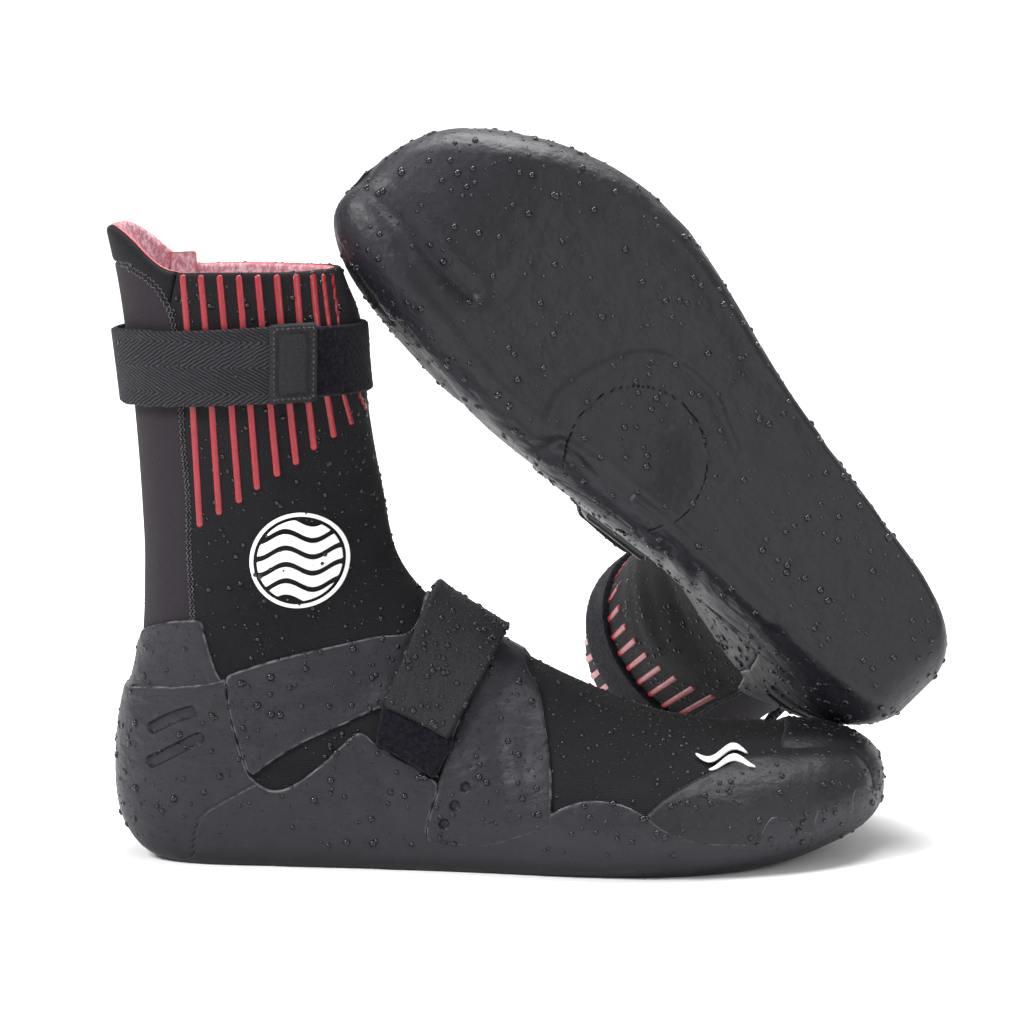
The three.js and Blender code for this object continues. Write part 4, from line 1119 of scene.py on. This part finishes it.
# ---- Printed marks ----
# A round white badge of plain waves is printed on the lateral side of the shaft, and a white ripple on the
# toe. Both are flat prints of flexible ink.
white_ink = gloss_print("white_ink", (0.80, 0.80, 0.80), (0.66, 0.66, 0.67), 0.5, 0.0)
BADGE, BADGE_RADIUS = (72.9, 118.1), 18.6


def badge(points):
    away = np.hypot(points[:, 0] - BADGE[0], points[:, 1] - BADGE[1])
    rise = (points[:, 1] - BADGE[1] + 2.0 * np.sin((points[:, 0] - BADGE[0]) * 0.30)) / 6.4
    bars = 3.2 * (0.68 - 2 * np.abs(rise - np.round(rise)))
    ring = np.minimum(BADGE_RADIUS - away, away - (BADGE_RADIUS - 1.5))
    return np.maximum(ring, np.minimum(BADGE_RADIUS - 2.7 - away, bars))


def ripple(points):
    along = points[:, 0] - 234
    strokes = []
    for lift, low, high in ((0.9, -11.5, 9.0), (-1.9, -6.0, 12.0)):
        middle = 43.2 + lift + 1.5 * np.sin(along * 0.34 + 0.4)
        share = np.clip((along - low) / (high - low), 0, 1)
        strokes.append(0.95 * np.sin(np.pi * share) ** 0.6 - np.abs(points[:, 1] - middle) - 0.05)
    return np.max(strokes, axis=0)


for label, area, shape, top, bottom, body in (
    ("shaft_badge", (53, 93, 98, 138, 0.55), badge, 0.22, -0.1, SAG_ENDS),
    ("toe_mark", (221, 248, 38, 48.5, 0.3), ripple, 2.15, 1.4, "foot"),
):
    mark, mark_triangles = printed(*area, -1, shape)
    both(label, plate(mark, mark_triangles, top, bottom, (0, 0.15, 0.3, 0.5), (0.6, 0.9, 1, 1)), white_ink,
         [], body)

# ---- Water beads ----
# Sea water stands in round beads on the rubber and the jersey: many small ones and a few large.


def clear_water():
    f = Finish("clear_water")
    ripple = f.noise(f.lay(), 300, 2)
    shade = f.blend(ripple, (0.003, 0.003, 0.004), (0.009, 0.009, 0.011))
    return f.done(shade, 0.05 + 0.08 * ripple, Specular_IOR_Level=0.42)


def bead_tree():
    g = Group("water_beads", {"Per Square Metre": "Float", "Smallest": "Float", "Largest": "Float",
                              "Lowest": "Float", "Seed": "Int", "Finish": "Material"})
    given = g.given.outputs
    height = g.node("ShaderNodeSeparateXYZ", {}, {0: g.node(
        "GeometryNodeInputNamedAttribute", {"data_type": "FLOAT_VECTOR"}, {"Name": "boot"})}, output=2)
    wet = g.node("FunctionNodeCompare", {"data_type": "FLOAT", "operation": "GREATER_THAN"},
                 {0: height, 1: given["Lowest"]})
    cover = g.tree.nodes.new("GeometryNodeDistributePointsOnFaces")
    for key, value in {"Mesh": given["Geometry"], "Selection": wet, "Density": given["Per Square Metre"],
                       "Seed": given["Seed"]}.items():
        g.tree.links.new(value, cover.inputs[key])
    luck = g.node("FunctionNodeRandomValue", {"data_type": "FLOAT"},
                  {2: 0.0, 3: 1.0, "Seed": given["Seed"]}, output=1)
    span = g.sum_of("SUBTRACT", given["Largest"], given["Smallest"])
    size = g.sum_of("ADD", given["Smallest"], g.sum_of("MULTIPLY", g.sum_of("POWER", luck, 5.0), span))
    scale = g.node("ShaderNodeCombineXYZ", {}, {0: size, 1: size, 2: g.sum_of("MULTIPLY", size, 0.62)})
    bead = g.node("GeometryNodeMeshUVSphere", {}, {"Segments": 6, "Rings": 3, "Radius": 1.0})
    return g.place(bead, cover.outputs["Points"], cover.outputs["Rotation"], scale)


WATER_BEADS = bead_tree()
water = clear_water()
FIRST_SEED = 11
for k, (host, per_metre, smallest, largest, lowest, body) in enumerate((
    ("sole_shell", 52000.0, 0.26, 1.7, 9, "foot"), ("moulded_cap", 90000.0, 0.24, 1.4, 9, "foot"),
    ("instep_wing", 90000.0, 0.26, 1.6, 9, "foot"), ("ankle_wrap", 90000.0, 0.26, 1.8, 9, "foot"),
    ("tendon_patch", 70000.0, 0.24, 1.2, 9, "foot"), ("neoprene_upper", 90000.0, 0.22, 1.25, 24, SAG_ENDS),
    ("ankle_webbing", 26000.0, 0.18, 0.9, 9, PEEL_ENDS),
    ("instep_strap_cloth", 150000.0, 0.24, 1.5, 9, RIDGE_ENDS),
    ("back_knit", 12000.0, 0.18, 0.6, 9, SAG_ENDS),
)):
    for boot in SIDES:
        source = PIECES[host][boot].data.copy()
        beads = WATER_BEADS.run(
            f"{boot}_{host}_beads", source, Per_Square_Metre=per_metre, Smallest=smallest * 0.001,
            Largest=largest * 0.001, Lowest=(lowest if boot == "right" else -50) * 0.001, Seed=FIRST_SEED + k,
            Finish=water.material)
        fit(beads, boot, [], body)

# ---- Floor, light and camera ----
# A plain pale floor that curves up behind, three large soft lights, and a long lens.


def studio():
    f = Finish("pale_paper")
    f.done((0.86, 0.86, 0.865), 0.9)
    profile = [(-6, 0), (1.2, 0)] + [(1.2 + 1.6 * math.sin(a), 1.6 - 1.6 * math.cos(a)) for a in
                                     np.linspace(0.1, math.pi / 2, 14)] + [(2.8, 6)]
    points = [(x, y, z) for y, z in profile for x in (-6, 6)]
    faces = [(2 * k, 2 * k + 1, 2 * k + 3, 2 * k + 2) for k in range(len(profile) - 1)]
    mesh = bpy.data.meshes.new("floor")
    mesh.from_pydata(points, [], faces)
    mesh.materials.append(f.material)
    mesh.shade_smooth()
    floor = bpy.data.objects.new("floor", mesh)
    bpy.context.scene.collection.objects.link(floor)


studio()


def look(thing, place, target):
    thing.location = place
    direction = np.array(target) - np.array(place)
    thing.rotation_euler = Vector(direction).to_track_quat("-Z", "Y").to_euler()
    bpy.context.scene.collection.objects.link(thing)


for name, place, width, power in (
    ("key_light", (-1.5, -1.0, 1.7), 0.8, 66), ("fill_light", (1.7, -1.6, 0.9), 1.2, 16),
    ("top_light", (0.2, 0.5, 2.0), 1.2, 66),
):
    light = bpy.data.lights.new(name, "AREA")
    light.size, light.energy = width, power
    look(bpy.data.objects.new(name, light), place, (0.04, 0.08, 0.12))
world = bpy.data.worlds.new("soft_room")
world.use_nodes = True
world.node_tree.nodes["Background"].inputs["Color"].default_value = (1, 1, 1, 1)
world.node_tree.nodes["Background"].inputs["Strength"].default_value = 0.5
bpy.context.scene.world = world
bpy.context.scene.view_settings.view_transform = "Standard"

lens = bpy.data.cameras.new("camera")
lens.lens, lens.sensor_width = 137.0, 36.0
camera = bpy.data.objects.new("camera", lens)
look(camera, (0.1096, -1.4868, 0.3163), (0.0317, 0.0, 0.1335))
bpy.context.scene.camera = camera
